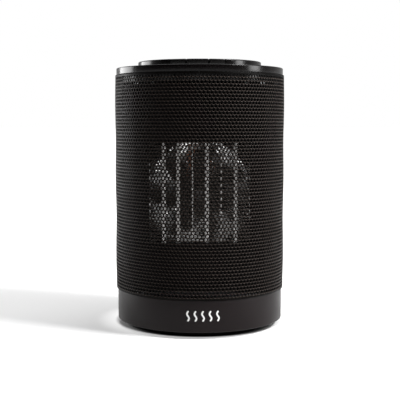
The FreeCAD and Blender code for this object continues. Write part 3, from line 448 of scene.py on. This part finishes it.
def metal(name, colour, roughness, stretch=(1, 1, 1), scale=500, relief=0.000015):
    material, shader = new_material(name, colour, roughness, metallic=1.0)
    mottle(material, shader, tuple(c * 0.86 for c in colour), colour, 40)
    uneven_gloss(material, shader, roughness * 0.75, roughness * 1.3, scale, stretch)
    grain(material, shader, scale, relief, 0.5, stretch)
    return material


def smoked_lens():
    material, shader = new_material("lens", (0.004, 0.004, 0.005), 0.06)
    uneven_gloss(material, shader, 0.04, 0.1, 30)
    shader.inputs["Coat Weight"].default_value = 0.6
    shader.inputs["Coat Roughness"].default_value = 0.03
    return material


def winding():
    """Enamelled copper: fine turns of wire as raised bands."""
    material, shader = new_material("copper_wire", (0.45, 0.16, 0.07), 0.3, metallic=1.0)
    mottle(material, shader, (0.33, 0.1, 0.045), (0.55, 0.2, 0.09), 300)
    tree = material.node_tree
    place = tree.nodes.new("ShaderNodeTexCoord")
    wave = tree.nodes.new("ShaderNodeTexWave")
    wave.bands_direction = "Y"
    wave.inputs["Scale"].default_value = 420
    wave.inputs["Distortion"].default_value = 0.6
    bump = tree.nodes.new("ShaderNodeBump")
    bump.inputs["Distance"].default_value = 0.0003
    tree.links.new(place.outputs["Object"], wave.inputs["Vector"])
    tree.links.new(wave.outputs["Fac"], bump.inputs["Height"])
    tree.links.new(bump.outputs["Normal"], shader.inputs["Normal"])
    return material


def print_ink():
    material, shader = new_material("print_ink", (0.82, 0.82, 0.8), 0.45)
    mottle(material, shader, (0.76, 0.76, 0.75), (0.85, 0.85, 0.84), 400)
    return material


def make_materials():
    return {
        "grille_steel": powder_coat(),
        "base_plastic": moulded("base_plastic", (0.006, 0.0036, 0.0038), 0.4, specular=0.15),
        "panel_plastic": moulded("panel_plastic", (0.002, 0.0014, 0.0015), 0.2, 0.00001, specular=0.2),
        "button_plastic": moulded("button_plastic", (0.004, 0.0034, 0.0035), 0.22, 0.00001, specular=0.35),
        "foot_plastic": moulded("foot_plastic", (0.0015, 0.0015, 0.0015), 0.6, specular=0.05),
        "pad_rubber": moulded("pad_rubber", (0.025, 0.025, 0.025), 0.8, 0.00005, 700),
        "acetal": moulded("acetal", (0.78, 0.77, 0.72), 0.35),
        "zinc_steel": metal("zinc_steel", (0.55, 0.56, 0.57), 0.32),
        "lens": smoked_lens(),
        "display_case": moulded("display_case", (0.03, 0.03, 0.035), 0.45),
        "board": moulded("board", (0.02, 0.11, 0.045), 0.35),
        "relay_case": moulded("relay_case", (0.02, 0.08, 0.3), 0.4),
        "capacitor_film": moulded("capacitor_film", (0.62, 0.42, 0.05), 0.4),
        "terminal_plastic": moulded("terminal_plastic", (0.6, 0.6, 0.55), 0.5),
        "duct_plastic": moulded("duct_plastic", (0.0014, 0.001, 0.001), 0.6, specular=0.06),
        "element_aluminium": metal("element_aluminium", (0.5, 0.49, 0.48), 0.26, (1, 1, 0.15), 700),
        # Painted shade: the fin foil is the same aluminium as the element but given a far darker colour,
        # standing in for the shade the fins lie in behind the grille.
        "fin_foil_painted_shade": metal("fin_foil_painted_shade", (0.14, 0.13, 0.12), 0.14, (1, 1, 0.15), 700),
        "end_cap_plastic": moulded("end_cap_plastic", (0.004, 0.0035, 0.003), 0.55, specular=0.2),
        "ptc_ceramic": moulded("ptc_ceramic", (0.1, 0.095, 0.09), 0.8, 0.00006, 500),
        "brass": metal("brass", (0.7, 0.5, 0.2), 0.28),
        "lead_sleeve": moulded("lead_sleeve", (0.62, 0.6, 0.56), 0.6),
        "core_steel": metal("core_steel", (0.3, 0.31, 0.33), 0.4, (0.1, 6, 0.1), 260, 0.0002),
        "copper_wire": winding(),
        "fan_plastic": moulded("fan_plastic", (0.035, 0.035, 0.035), 0.4),
        "cutout_case": moulded("cutout_case", (0.05, 0.022, 0.012), 0.45),
        "print_ink": print_ink(),
    }


# --- Perforated sleeve --------------------------------------------------------------------------
def sleeve_point(s, z, depth):
    """The place of a point s along the unrolled sheet and z up, at a depth under its outer face."""
    angle = s / SLEEVE_R
    wave = np.cos(2 * np.pi * (z - RIPPLE_CREST) / RIPPLE_PERIOD)
    share = 1 - RIPPLE_VARIES + RIPPLE_VARIES * np.cos(2 * angle + RIPPLE_TURN)
    radius = SLEEVE_R - RIPPLE + RIPPLE * wave * share - depth
    return np.stack([radius * np.sin(angle), -radius * np.cos(angle), z], -1)


class Sheet:
    """Collects quads of the sheet, with a place on the flat bake map for each corner."""

    def __init__(self, s_range):
        self.points, self.quads, self.maps, self.lip_highlights = [], [], [], []
        self.count = 0
        self.s_range = s_range

    def add_points(self, s, z, depth):
        """Adds points and returns their numbers in an array shaped like s."""
        s, z = np.broadcast_arrays(np.asarray(s, float), np.asarray(z, float))
        self.points.append(sleeve_point(s.ravel(), z.ravel(), depth))
        numbers = self.count + np.arange(s.size).reshape(s.shape)
        self.count += s.size
        return numbers

    def add_quads(self, corners, flat, inside):
        """corners: four arrays of point numbers; flat: an (s, z) pair of arrays for each."""
        low, high = self.s_range
        start = BAKE_INNER if inside else BAKE_OUTER
        height = SLEEVE_Z[1] - SLEEVE_Z[0] + 2 * BAKE_SPARE
        self.quads.append(np.stack([c.ravel() for c in corners], -1))
        u = [(s - low) / (high - low) * BAKE_WIDTH + start for s, _ in flat]
        v = [(z - SLEEVE_Z[0] + BAKE_SPARE) / height for _, z in flat]
        self.maps.append(np.stack([np.stack([a.ravel(), b.ravel()], -1) for a, b in zip(u, v)], 1))

    def mesh(self, name, sharp_points):
        points = np.concatenate(self.points) * MM
        quads = np.concatenate(self.quads).astype(np.int32)
        mesh = bpy.data.meshes.new(name)
        mesh.vertices.add(len(points))
        mesh.vertices.foreach_set("co", points.ravel())
        mesh.loops.add(quads.size)
        mesh.loops.foreach_set("vertex_index", quads.ravel())
        mesh.polygons.add(len(quads))
        mesh.polygons.foreach_set("loop_start", np.arange(0, quads.size, 4, dtype=np.int32))
        mesh.polygons.foreach_set("use_smooth", np.ones(len(quads), bool))
        mesh.update(calc_edges=True)
        flat = mesh.uv_layers.new(name="OFBake")
        flat.data.foreach_set("uv", np.concatenate(self.maps).ravel().astype(np.float32))
        ends = np.zeros(len(mesh.edges) * 2, np.int32)
        mesh.edges.foreach_get("vertices", ends)
        ends = ends.reshape(-1, 2)
        kind = np.zeros(len(points), np.int8)
        for label, numbers in enumerate(sharp_points, 1):
            kind[numbers.ravel()] = label
        both = (kind[ends[:, 0]] == kind[ends[:, 1]]) & (kind[ends[:, 0]] > 0)
        sharp = mesh.attributes.new("sharp_edge", "BOOLEAN", "EDGE")
        sharp.data.foreach_set("value", both)
        # Each point's share of the painted highlight.
        level = np.zeros(len(points), np.float32)
        for numbers, values in self.lip_highlights:
            level[numbers.ravel()] = np.broadcast_to(values, numbers.shape).ravel()
        lip_highlight = mesh.attributes.new("lip_highlight", "FLOAT", "POINT")
        lip_highlight.data.foreach_set("value", level)
        return mesh


def sleeve_sector(name, first, last):
    """The strip of sheet with hole columns first to last: outer face, rims, hole walls and inner face."""
    margin = (SLEEVE_Z[1] - SLEEVE_Z[0] - (HOLE_ROWS - 1) * ROW_PITCH) / 2
    bottom_row = SLEEVE_Z[0] + margin
    columns, rows = np.meshgrid(np.arange(first, last), np.arange(HOLE_ROWS))
    across = (4 * columns + 2 * (rows % 2)).ravel()
    up = (6 * rows).ravel()
    cell = np.array(CELL)
    cell_a, cell_b = across[:, None] + cell[:, 0], up[:, None] + cell[:, 1]
    # Each lattice point's two numbers packed in one key; the shift keeps both above zero.
    span, shift = 4096, 8
    keys, where = np.unique((cell_a + shift) * span + cell_b + shift, return_inverse=True)
    where = where.reshape(cell_a.shape)
    lattice_s = (keys // span - shift) * HOLE_PITCH / 4
    lattice_z = bottom_row + (keys % span - shift) * ROW_PITCH / 6
    sheet = Sheet((lattice_s.min(), lattice_s.max()))
    outer = sheet.add_points(lattice_s, lattice_z, 0.0)[where]
    inner = sheet.add_points(lattice_s, lattice_z, SLEEVE_T)[where]

    turn = np.radians(30.0) * np.arange(12)
    centre_s = across[:, None] * HOLE_PITCH / 4
    centre_z = bottom_row + up[:, None] * ROW_PITCH / 6

    def circle(radius):
        return centre_s + radius * np.cos(turn), centre_z + radius * np.sin(turn)

    rim_width, rim_depth = HOLE_EDGE
    rim_flat, wall_flat = circle(HOLE_R + rim_width), circle(HOLE_R)
    wall_end_flat = circle(HOLE_R * BAKE_WALL)
    rim = sheet.add_points(*rim_flat, 0.0)
    wall_top = sheet.add_points(*wall_flat, rim_depth)
    wall_end = sheet.add_points(*wall_flat, SLEEVE_T)
    # Painted highlight: the lower edge of every hole is marked for the lighter colour, as if lit from above.
    lower = np.clip(-np.sin(turn), 0, 1) ** LIP_HIGHLIGHT_SPREAD
    sheet.lip_highlights += [(rim, lower), (wall_top, lower)]
    edge_flat = lattice_s[where], lattice_z[where]

    def ring(near, far, near_flat, far_flat, inside=False):
        def after(values):
            return np.roll(values, -1, 1)

        corners = (near, after(near), after(far), far)
        flat = [near_flat, tuple(map(after, near_flat)), tuple(map(after, far_flat)), far_flat]
        sheet.add_quads(corners, flat, inside)

    ring(outer, rim, edge_flat, rim_flat)
    ring(rim, wall_top, rim_flat, wall_flat)
    ring(wall_top, wall_end, wall_flat, wall_end_flat)
    ring(wall_end, inner, wall_flat, edge_flat, inside=True)
    row = last - first
    add_hem(sheet, outer[-row:], inner[-row:], edge_flat, -row, TOP_OF_CELL, 1)
    add_hem(sheet, outer[:row], inner[:row], edge_flat, 0, BOTTOM_OF_CELL, -1)
    add_sides(sheet, outer, inner, row)
    return sheet.mesh(name, (wall_top, wall_end))


def chain(values, order):
    """The values along one edge of a row of cells, left to right, each shared point once."""
    return np.append(values[:, list(order[:-1])].ravel(), values[-1, order[-1]])


def add_hem(sheet, outer, inner, edge_flat, first_cell, order, way):
    """Closes the sheet at its top (way 1) or bottom (way -1) with a rolled edge turned inwards."""
    limit = SLEEVE_Z[1] if way > 0 else SLEEVE_Z[0]
    cells = slice(first_cell, None) if first_cell else slice(0, len(outer))
    s = chain(edge_flat[0][cells], order)
    z = chain(edge_flat[1][cells], order)
    rounding = HEM_ROLL * (1 - math.sqrt(0.5))
    profile = [(0.0, HEM_ROLL), (rounding, rounding), (HEM_ROLL, 0.0), (SLEEVE_HEM, 0.0),
               (SLEEVE_HEM, SLEEVE_T), (SLEEVE_T, SLEEVE_T)]
    rings = [chain(outer, order)]
    rings += [sheet.add_points(s, limit - way * drop + 0 * s, depth) for depth, drop in profile]
    rings.append(chain(inner, order))
    turned_in = len(HEM_RUN_OUT) - 1
    for i in range(len(rings) - 1):
        inside = i >= turned_in
        runs, step = (HEM_RUN_IN, i - turned_in) if inside else (HEM_RUN_OUT, i)
        near_z, far_z = z + way * runs[step], z + way * runs[step + 1]
        near, far = rings[i], rings[i + 1]
        corners = [near[:-1], near[1:], far[1:], far[:-1]]
        flat = [(s[:-1], near_z[:-1]), (s[1:], near_z[1:]), (s[1:], far_z[1:]), (s[:-1], far_z[:-1])]
        if way < 0:
            corners, flat = corners[::-1], flat[::-1]
        sheet.add_quads(corners, flat, inside)
    spot = (np.full(1, sheet.s_range[0]), np.full(1, BAKE_SPOT_Z))
    for end, flip in ((0, way > 0), (-1, way < 0)):
        edge = [np.atleast_1d(r[end]) for r in rings]
        for group in ((0, 1, 6, 7), (1, 2, 3, 6), (3, 4, 5, 6)):
            corners = [edge[i] for i in (group if flip else group[::-1])]
            sheet.add_quads(corners, [spot] * 4, True)


def add_sides(sheet, outer, inner, row):
    """Closes the strip's zigzag sides, where the next strip meets it, but not its hemmed ends."""
    near, far = outer, np.roll(outer, -1, 1)
    inner_near, inner_far = inner, np.roll(inner, -1, 1)
    low, high = np.minimum(near, far), np.maximum(near, far)
    _, index, counts = np.unique(low * np.int64(1 << 24) + high, return_index=True, return_counts=True)
    single = np.zeros(near.size, bool)
    single[index[counts == 1]] = True
    single = single.reshape(near.shape)
    single[-row:, 1:5] = False
    single[:row, 7:11] = False
    count = single.sum()
    spot = (np.full(count, sheet.s_range[0]), np.full(count, BAKE_SPOT_Z))
    corners = (far[single], near[single], inner_near[single], inner_far[single])
    sheet.add_quads(corners, [spot] * 4, True)


def make_sleeve(materials):
    borders = [round(HOLES_ROUND * i / SECTORS) for i in range(SECTORS + 1)]
    for i in range(SECTORS):
        name = f"sleeve_strip_{i + 1}"
        mesh = sleeve_sector(name, borders[i], borders[i + 1])
        add_object(name, mesh, "housing", "grille_steel", materials["grille_steel"], "grille")


# --- Base, foot, cover and control disc -----------------------------------------------------------
def make_base(materials):
    inner = BASE_R - WALL
    band = turned("base_band", [
        (SKIRT_R, BASE_Z[0], 0), (BASE_R, BASE_Z[0], BASE_EDGE), (BASE_R, BASE_Z[1], BASE_TOP_EDGE),
        (inner, BASE_Z[1], 0), (inner, LIP_TOP, 0), (LIP_R, LIP_TOP, 0), (LIP_R, BASE_FLOOR_TOP, 0),
        (SKIRT_R, BASE_FLOOR_TOP, 0),
    ])
    near, far = GLAND_SLOT_Y
    slot = block_mesh("slot", (-GLAND_HALF_W, near, BASE_Z[0] - 1),
                      (GLAND_HALF_W, far, GLAND_Z + GLAND_HALF_W))
    band = carve(band, slot)
    add_object("base_band", band, "housing", "base_plastic", materials["base_plastic"], "base_ring")


def make_cover(materials):
    under = COVER_Z[1] - COVER_T
    skirt_in, skirt_out = COVER_SKIRT
    skirt_bottom = COVER_Z[0] - COVER_SKIRT_DROP
    ring = turned("cover_ring", [
        (COVER_HOLE_R, under, 0), (skirt_in, under, 0), (skirt_in, skirt_bottom, 0),
        (skirt_out, skirt_bottom, COVER_SKIRT_EDGE), (skirt_out, COVER_Z[0], 0),
        (COVER_R, COVER_Z[0], COVER_UNDER_EDGE), (COVER_R, COVER_Z[1], COVER_EDGE),
        (COVER_HOLE_R, COVER_Z[1], 0),
    ])
    add_object("cover_ring", ring, "housing", "panel_plastic", materials["panel_plastic"], "top_cover")


def make_disc(materials):
    inner = DISC_R - WALL
    shell = turned("disc_shell", [
        (0, DISC_TOP - DISC_T, 0), (inner, DISC_TOP - DISC_T, 0), (inner, COVER_Z[1], 0),
        (DISC_R, COVER_Z[1], RIM_LOW_EDGE), (DISC_R, DISC_TOP, DISC_EDGE), (0, DISC_TOP, 0),
    ])
    start = min(a for a, _ in KEY_SPANS.values()) - KEY_GAP_ANGLE
    end = max(b for _, b in KEY_SPANS.values()) + KEY_GAP_ANGLE
    low, high = KEY_GAP_Z
    near, far = KEY_INNER_R - KEY_GAP, DISC_R + 5
    gap = turned("gap", [(near, low, 0), (far, low, 0), (far, high, 0), (near, high, 0)], start, end, 48)
    width, depth = LENS
    pocket = block_mesh("pocket", (-width / 2 - LENS_GAP, -depth / 2 - LENS_GAP, DISC_TOP - LENS_T),
                        (width / 2 + LENS_GAP, depth / 2 + LENS_GAP, POCKET_TOP))
    disc = carve(shell, gap, pocket)
    add_object("disc_shell", disc, "housing", "panel_plastic", materials["panel_plastic"], "control_disc")


def make_keys(materials):
    inner = DISC_R - WALL
    for name, (start, end) in KEY_SPANS.items():
        cap = turned(name + "_cap", [
            (KEY_INNER_R, DISC_TOP - DISC_T, 0), (inner, DISC_TOP - DISC_T, 0), (inner, KEY_SKIRT, 0),
            (DISC_R, KEY_SKIRT, RIM_LOW_EDGE), (DISC_R, KEY_TOP, DISC_EDGE), (KEY_INNER_R, KEY_TOP, 0),
        ], start, end, 20)
        cap = eased(cap, KEY_EASE)
        add_object(name + "_cap", cap, name, "button_plastic", materials["button_plastic"], name)


def make_foot(materials):
    low, high = FOOT_Z
    low_edge, high_edge = FOOT_EDGES
    rail_in, rail_out = RAIL_R
    plate = turned("foot_disc", [
        (FOOT_BORE_R, low, 0), (FOOT_R, low, low_edge), (FOOT_R, high, high_edge), (rail_out, high, 0),
        (rail_out, RAIL_FLOOR, 0), (rail_in, RAIL_FLOOR, 0), (rail_in, high, 0), (FOOT_BORE_R, high, 0),
    ])
    add_object("foot_disc", plate, "foot", "foot_plastic", materials["foot_plastic"], "foot_plate")


# --- Heating element ------------------------------------------------------------------------------
def dividers():
    """The left and right faces of every tube and plate, from left to right."""
    strips = [(x * COLUMN, TUBE_W / 2) for x in TUBES] + [(x * COLUMN, PLATE_W / 2) for x in PLATES]
    end = END_COLUMN * COLUMN + PLATE_W / 2 - END_INSET
    strips += [(side * end, PLATE_W / 2) for side in (-1, 1)]
    return sorted((x - half, x + half) for x, half in strips)


def fin_ribbon(name, left, right, seed):
    """A corrugated strip of foil between two dividers, each fold slightly out of true."""
    shake = random.Random(seed)
    height = WINDOW_H - 2 * FIN_MARGIN
    folds = int(height / FIN_FOLD)
    step = height / folds
    low = WINDOW_Z - WINDOW_H / 2 + FIN_MARGIN
    high = low + WINDOW_H - 2 * FIN_MARGIN
    crest = FIN_CREST * step
    path = []
    for i in range(folds + 1):
        x = left if i % 2 else right
        inward = 1 if i % 2 else -1
        lift = shake.gauss(0, FIN_LIFT)
        lean = shake.gauss(0, FIN_LEAN)
        for along, off in FIN_BEND:
            z = min(max(low + i * step + along * crest + lift, low), high)
            path.append((x + inward * off, z, lean))
    points, faces = [], []
    half = FIN_T / 2
    for i, (x, z, lean) in enumerate(path):
        ahead, behind = path[min(i + 1, len(path) - 1)], path[max(i - 1, 0)]
        dx, dz = ahead[0] - behind[0], ahead[1] - behind[1]
        length = math.hypot(dx, dz) or 1.0
        nx, nz = -dz / length * half, dx / length * half
        for y, tilt in ((FIN_Y[0], lean), (FIN_Y[1], -lean)):
            points += [(x + nx, y, z + nz + tilt), (x - nx, y, z - nz + tilt)]
    for i in range(len(path) - 1):
        a, b = 4 * i, 4 * (i + 1)
        faces += [(a, b, b + 2, a + 2), (a + 1, a + 3, b + 3, b + 1),
                  (a, a + 1, b + 1, b), (a + 2, b + 2, b + 3, a + 3)]
    end = 4 * (len(path) - 1)
    faces += [(0, 2, 3, 1), (end, end + 1, end + 3, end + 2)]
    return mesh_from(name, points, faces, FIN_SHARP)


def make_fins(materials):
    strips = dividers()
    for i, (a, b) in enumerate(zip(strips, strips[1:])):
        name = f"fin_ribbon_{i + 1}"
        ribbon = fin_ribbon(name, a[1] + FIN_CLEAR, b[0] - FIN_CLEAR, FIN_SEED + i)
        # Painted shade: the fins take the darker copy of the element's aluminium.
        add_object(name, ribbon, "housing", "element_aluminium", materials["fin_foil_painted_shade"], "ptc_fins")


# --- Fan --------------------------------------------------------------------------------------------
def blade_points(turn):
    """One cambered blade as a grid of points on its two faces, widest about half-way out."""
    front, back = [], []
    for i in range(BLADE_SPANS):
        share = i / (BLADE_SPANS - 1)
        radius = FAN_HUB_R - BLADE_SUNK + share * (FAN_R - FAN_HUB_R + BLADE_REACH)
        pitch = math.radians(BLADE_PITCH - BLADE_TWIST * share)
        chord = BLADE_CHORD[0] + BLADE_CHORD[1] * math.sin(math.pi * min(1, share * 0.75 + 0.1))
        sweep = math.radians(BLADE_SWEEP) * share ** 2
        for j in range(BLADE_CHORDS):
            t = j / (BLADE_CHORDS - 1) - 0.5
            along = t * chord
            camber = BLADE_CAMBER * (1 - 4 * t * t)
            thick = BLADE_THICK[0] + BLADE_THICK[1] * (1 - 4 * t * t)
            for rows, side in ((front, -thick), (back, thick)):
                tangent = along * math.cos(pitch) - (camber + side) * math.sin(pitch)
                axial = along * math.sin(pitch) + (camber + side) * math.cos(pitch)
                axial = max(-BLADE_HALF_DEPTH, min(BLADE_HALF_DEPTH, axial))
                angle = turn + sweep + tangent / radius
                y = (FAN_Y[0] + FAN_Y[1]) / 2 + axial
                rows.append((radius * math.sin(angle), y, WINDOW_Z + radius * math.cos(angle)))
    return front, back


def make_fan(materials):
    points, faces = [], []
    spans, chords = BLADE_SPANS, BLADE_CHORDS
    for blade in range(BLADES):
        front, back = blade_points(2 * math.pi * blade / BLADES)
        base, half = len(points), spans * chords
        points += front + back
        for i in range(spans - 1):
            for j in range(chords - 1):
                a = base + i * chords + j
                faces += [(a, a + 1, a + chords + 1, a + chords)]
                faces += [(a + half, a + half + chords, a + half + chords + 1, a + half + 1)]
        border = [i * chords for i in range(spans)] + [(spans - 1) * chords + j for j in range(1, chords)]
        border += [i * chords + chords - 1 for i in range(spans - 2, -1, -1)] + list(range(chords - 2, 0, -1))
        for a, b in zip(border, border[1:] + border[:1]):
            faces.append((base + a, base + b, base + half + b, base + half + a))
    depth = FAN_Y[1] - FAN_Y[0]
    hub = rounded([
        (FAN_BORE_R, 0, 0), (FAN_HUB_R, 0, 1.5), (FAN_HUB_R, depth, 0), (FAN_HUB_INNER_R, depth, 0),
        (FAN_HUB_INNER_R, FAN_HUB_FACE, 0.8), (FAN_BOSS_R, FAN_HUB_FACE, 0.5), (FAN_BOSS_R, depth, 0),
        (FAN_BORE_R, depth, 0),
    ])
    steps, n, base = 64, len(hub), len(points)
    for i in range(steps):
        angle = 2 * math.pi * i / steps
        points += [(r * math.sin(angle), FAN_Y[0] + y, WINDOW_Z + r * math.cos(angle)) for r, y in hub]
        near, far = base + i * n, base + (i + 1) % steps * n
        faces += [(near + j, far + j, far + (j + 1) % n, near + (j + 1) % n) for j in range(n)]
    mesh = mesh_from("fan_wheel", points, faces)
    add_object("fan_wheel", mesh, "fan", "fan_plastic", materials["fan_plastic"], "fan_impeller")


# --- Printed marks ----------------------------------------------------------------------------------
def stroke(points, width, place):
    """A flat printed stroke with round ends along (u, v) points, laid down by place(u, v, height)."""
    line = [Vector(p) for p in points]
    left, right = [], []
    for i, here in enumerate(line):
        along = (line[min(i + 1, len(line) - 1)] - line[max(i - 1, 0)]).normalized()
        side = Vector((-along.y, along.x)) * width / 2
        left.append(here + side)
        right.append(here - side)
    outline = list(left)
    outline += [round_end(left[-1], right[-1], t / END_STEPS) for t in range(1, END_STEPS)]
    outline += right[::-1]
    outline += [round_end(right[0], left[0], t / END_STEPS) for t in range(1, END_STEPS)]
    n, m = len(left), len(outline)

    def facing(i):
        """The number of the right-hand point across the stroke from left-hand point i."""
        return n + END_STEPS - 1 + (n - 1 - i)

    faces = [(i, i + 1, facing(i + 1), facing(i)) for i in range(n - 1)]
    faces.append((n - 1, *range(n, n + END_STEPS - 1), facing(n - 1)))
    faces.append((facing(0), *range(m - END_STEPS + 1, m), 0))
    return [place(p.x, p.y, INK_T) for p in outline], faces


def round_end(a, b, t):
    middle = (a + b) / 2
    arm = a - middle
    angle = -math.pi * t
    return middle + Vector((arm.x * math.cos(angle) - arm.y * math.sin(angle),
                            arm.x * math.sin(angle) + arm.y * math.cos(angle)))


def print_mark(name, strokes, width, place, body, material):
    points, faces = [], []
    for line in strokes:
        top, cells = stroke(line, width, place)
        faces += [tuple(len(points) + i for i in cell) for cell in cells]
        points += top
    add_object(name, mesh_from(name, points, faces), body, "base_plastic", material)


def wave_line(x, low, high, sway, steps=24):
    """An upright line that sways to one side and back, for rising heat."""
    return [(x + sway * math.sin(2 * math.pi * i / steps), low + (high - low) * i / steps)
            for i in range(steps + 1)]


def arc_line(x, y, radius, start, end, steps=28):
    turns = [math.radians(start + (end - start) * i / steps) for i in range(steps + 1)]
    return [(x + radius * math.cos(a), y + radius * math.sin(a)) for a in turns]


def make_marks(materials):
    ink = materials["print_ink"]

    def on_base(u, v, height):
        radius = BASE_R + height
        return radius * math.sin(u / BASE_R), -radius * math.cos(u / BASE_R), v

    waves = [wave_line(MARK_X + i * MARK_PITCH, *MARK_Z, MARK_SWAY) for i in range(-2, 3)]
    print_mark("heat_mark", waves, MARK_STROKE, on_base, "housing", ink)

    def on_key(middle):
        turn = math.radians(middle + 90)
        cos, sin = math.cos(turn), math.sin(turn)

        def place(u, v, height):
            y = v - ICON_R
            return u * cos - y * sin, u * sin + y * cos, KEY_TOP + height
        return place

    arrows = []
    for side in (-1, 1):
        tip = (side * 2.94, -0.9)
        arrows += [[(side * 1.6, -0.4), tip], [(side * 3.2, 0.5), tip]]
    icons = {
        "heat": [wave_line(x, -2.4, 2.4, 0.45) for x in (-2, 0, 2)],
        "power": [arc_line(0, 0, 2.6, 125, 415), [(0, 0.6), (0, 2.0), (0, 3.4)]],
        "swing": [arc_line(0, -2.6, 3.4, 30, 150)] + arrows,
    }
    for name, lines in icons.items():
        key = name + "_button"
        print_mark(name + "_icon", lines, ICON_STROKE, on_key(sum(KEY_SPANS[key]) / 2), key, ink)


# --- Everything else --------------------------------------------------------------------------------
def finish_cad(materials):
    """Gives every CAD node that stays its slot's material."""
    slots = {part["node"]: part["material_slot"] for part in frame["record"]["subparts"]}
    for name, node in frame["nodes"].items():
        if not node.material_slots:
            node.data.materials.append(materials[slots[name]])
        for place in node.material_slots:
            place.material = materials[slots[name]]


def add_area(name, at, aim, size, power):
    data = bpy.data.lights.new(name, "AREA")
    data.shape = "RECTANGLE"
    data.size, data.size_y = size
    data.energy = power
    light = bpy.data.objects.new(name, data)
    light.location = at
    light.rotation_euler = (Vector(aim) - Vector(at)).to_track_quat("-Z", "Y").to_euler()
    bpy.context.scene.collection.objects.link(light)


def ramp_node(tree, value, stops):
    """A grey level for each (place, level) stop along a value from 0 to 1."""
    ramp = tree.nodes.new("ShaderNodeValToRGB")
    points = ramp.color_ramp.elements
    while len(points) < len(stops):
        points.new(0.5)
    for point, (place, level) in zip(points, stops):
        point.position = place
        point.color = (level, level, level, 1)
    tree.links.new(value, ramp.inputs["Fac"])
    return ramp.outputs["Color"]


def distance_node(tree, place, centre):
    """The distance in metres from a centre."""
    node = tree.nodes.new("ShaderNodeVectorMath")
    node.operation = "DISTANCE"
    node.inputs[1].default_value = centre
    tree.links.new(place, node.inputs[0])
    return node.outputs["Value"]


def make_floor():
    """A white floor with painted light: it glows, none close round the heater, brighter in a ring just round
    it and white far off; a painted shadow darkens its colour under the heater's foot.
    """
    work = bmesh.new()
    bmesh.ops.create_grid(work, x_segments=8, y_segments=8, size=FLOOR_HALF)
    mesh = bpy.data.meshes.new("studio_floor")
    work.to_mesh(mesh)
    work.free()
    floor = bpy.data.objects.new("studio_floor", mesh)
    bpy.context.scene.collection.objects.link(floor)
    material, shader = new_material("studio_floor", (FLOOR_WHITE,) * 3, 0.9, specular=0.0)
    tree = material.node_tree
    place = tree.nodes.new("ShaderNodeTexCoord").outputs["Object"]
    # Painted light: the floor's glow by distance from a point just behind the axis.
    glow = ramp_node(tree, distance_node(tree, place, (0, GLOW_BACK, 0)), GLOW_STOPS)
    tree.links.new(glow, shader.inputs["Emission Color"])
    # Painted shadow: the floor's colour turns dark under the foot.
    shadow_paint = ramp_node(tree, distance_node(tree, place, (0, 0, 0)), SHADOW_PAINT_STOPS)
    tree.links.new(shadow_paint, shader.inputs["Base Color"])
    shader.inputs["Emission Strength"].default_value = 1.0
    mesh.materials.append(material)


def make_world():
    """White to the camera; to the heater, dim in front and brighter behind, most of all on the right."""
    world = bpy.data.worlds.new("studio")
    bpy.context.scene.world = world
    world.use_nodes = True
    tree = world.node_tree
    tree.nodes.clear()
    place = tree.nodes.new("ShaderNodeTexCoord")
    split = tree.nodes.new("ShaderNodeSeparateXYZ")
    tree.links.new(place.outputs["Generated"], split.inputs["Vector"])
    depth = mapped(tree, split.outputs["Y"], ROOM_DEPTH, (ROOM_FRONT, 1.0))
    side = mapped(tree, split.outputs["X"], ROOM_SIDE, (ROOM_LEFT, ROOM_RIGHT))
    level = tree.nodes.new("ShaderNodeMath")
    level.operation = "MULTIPLY"
    tree.links.new(depth, level.inputs[0])
    tree.links.new(side, level.inputs[1])
    room = tree.nodes.new("ShaderNodeBackground")
    tree.links.new(level.outputs["Value"], room.inputs["Strength"])
    white = tree.nodes.new("ShaderNodeBackground")
    white.inputs["Color"].default_value = (1, 1, 1, 1)
    path = tree.nodes.new("ShaderNodeLightPath")
    mix = tree.nodes.new("ShaderNodeMixShader")
    tree.links.new(path.outputs["Is Camera Ray"], mix.inputs["Fac"])
    tree.links.new(room.outputs["Background"], mix.inputs[1])
    tree.links.new(white.outputs["Background"], mix.inputs[2])
    out = tree.nodes.new("ShaderNodeOutputWorld")
    tree.links.new(mix.outputs["Shader"], out.inputs["Surface"])


def make_studio():
    make_floor()
    make_world()
    for light in LIGHTS:
        add_area(*light)


def make_camera():
    data = bpy.data.cameras.new("photo_camera")
    data.lens = CAMERA_LENS
    data.sensor_width = CAMERA_SENSOR
    data.clip_start = 0.01
    camera = bpy.data.objects.new("photo_camera", data)
    camera.location = [c * MM for c in CAMERA_AT]
    camera.rotation_euler = (math.radians(90 - CAMERA_DOWN), 0, 0)
    bpy.context.scene.collection.objects.link(camera)
    bpy.context.scene.camera = camera


bpy.context.scene.view_settings.view_transform = "Standard"
MATERIALS = make_materials()
for make in (finish_cad, make_sleeve, make_base, make_cover, make_disc, make_keys, make_foot, make_fins,
             make_fan, make_marks):
    make(MATERIALS)
make_studio()
make_camera()
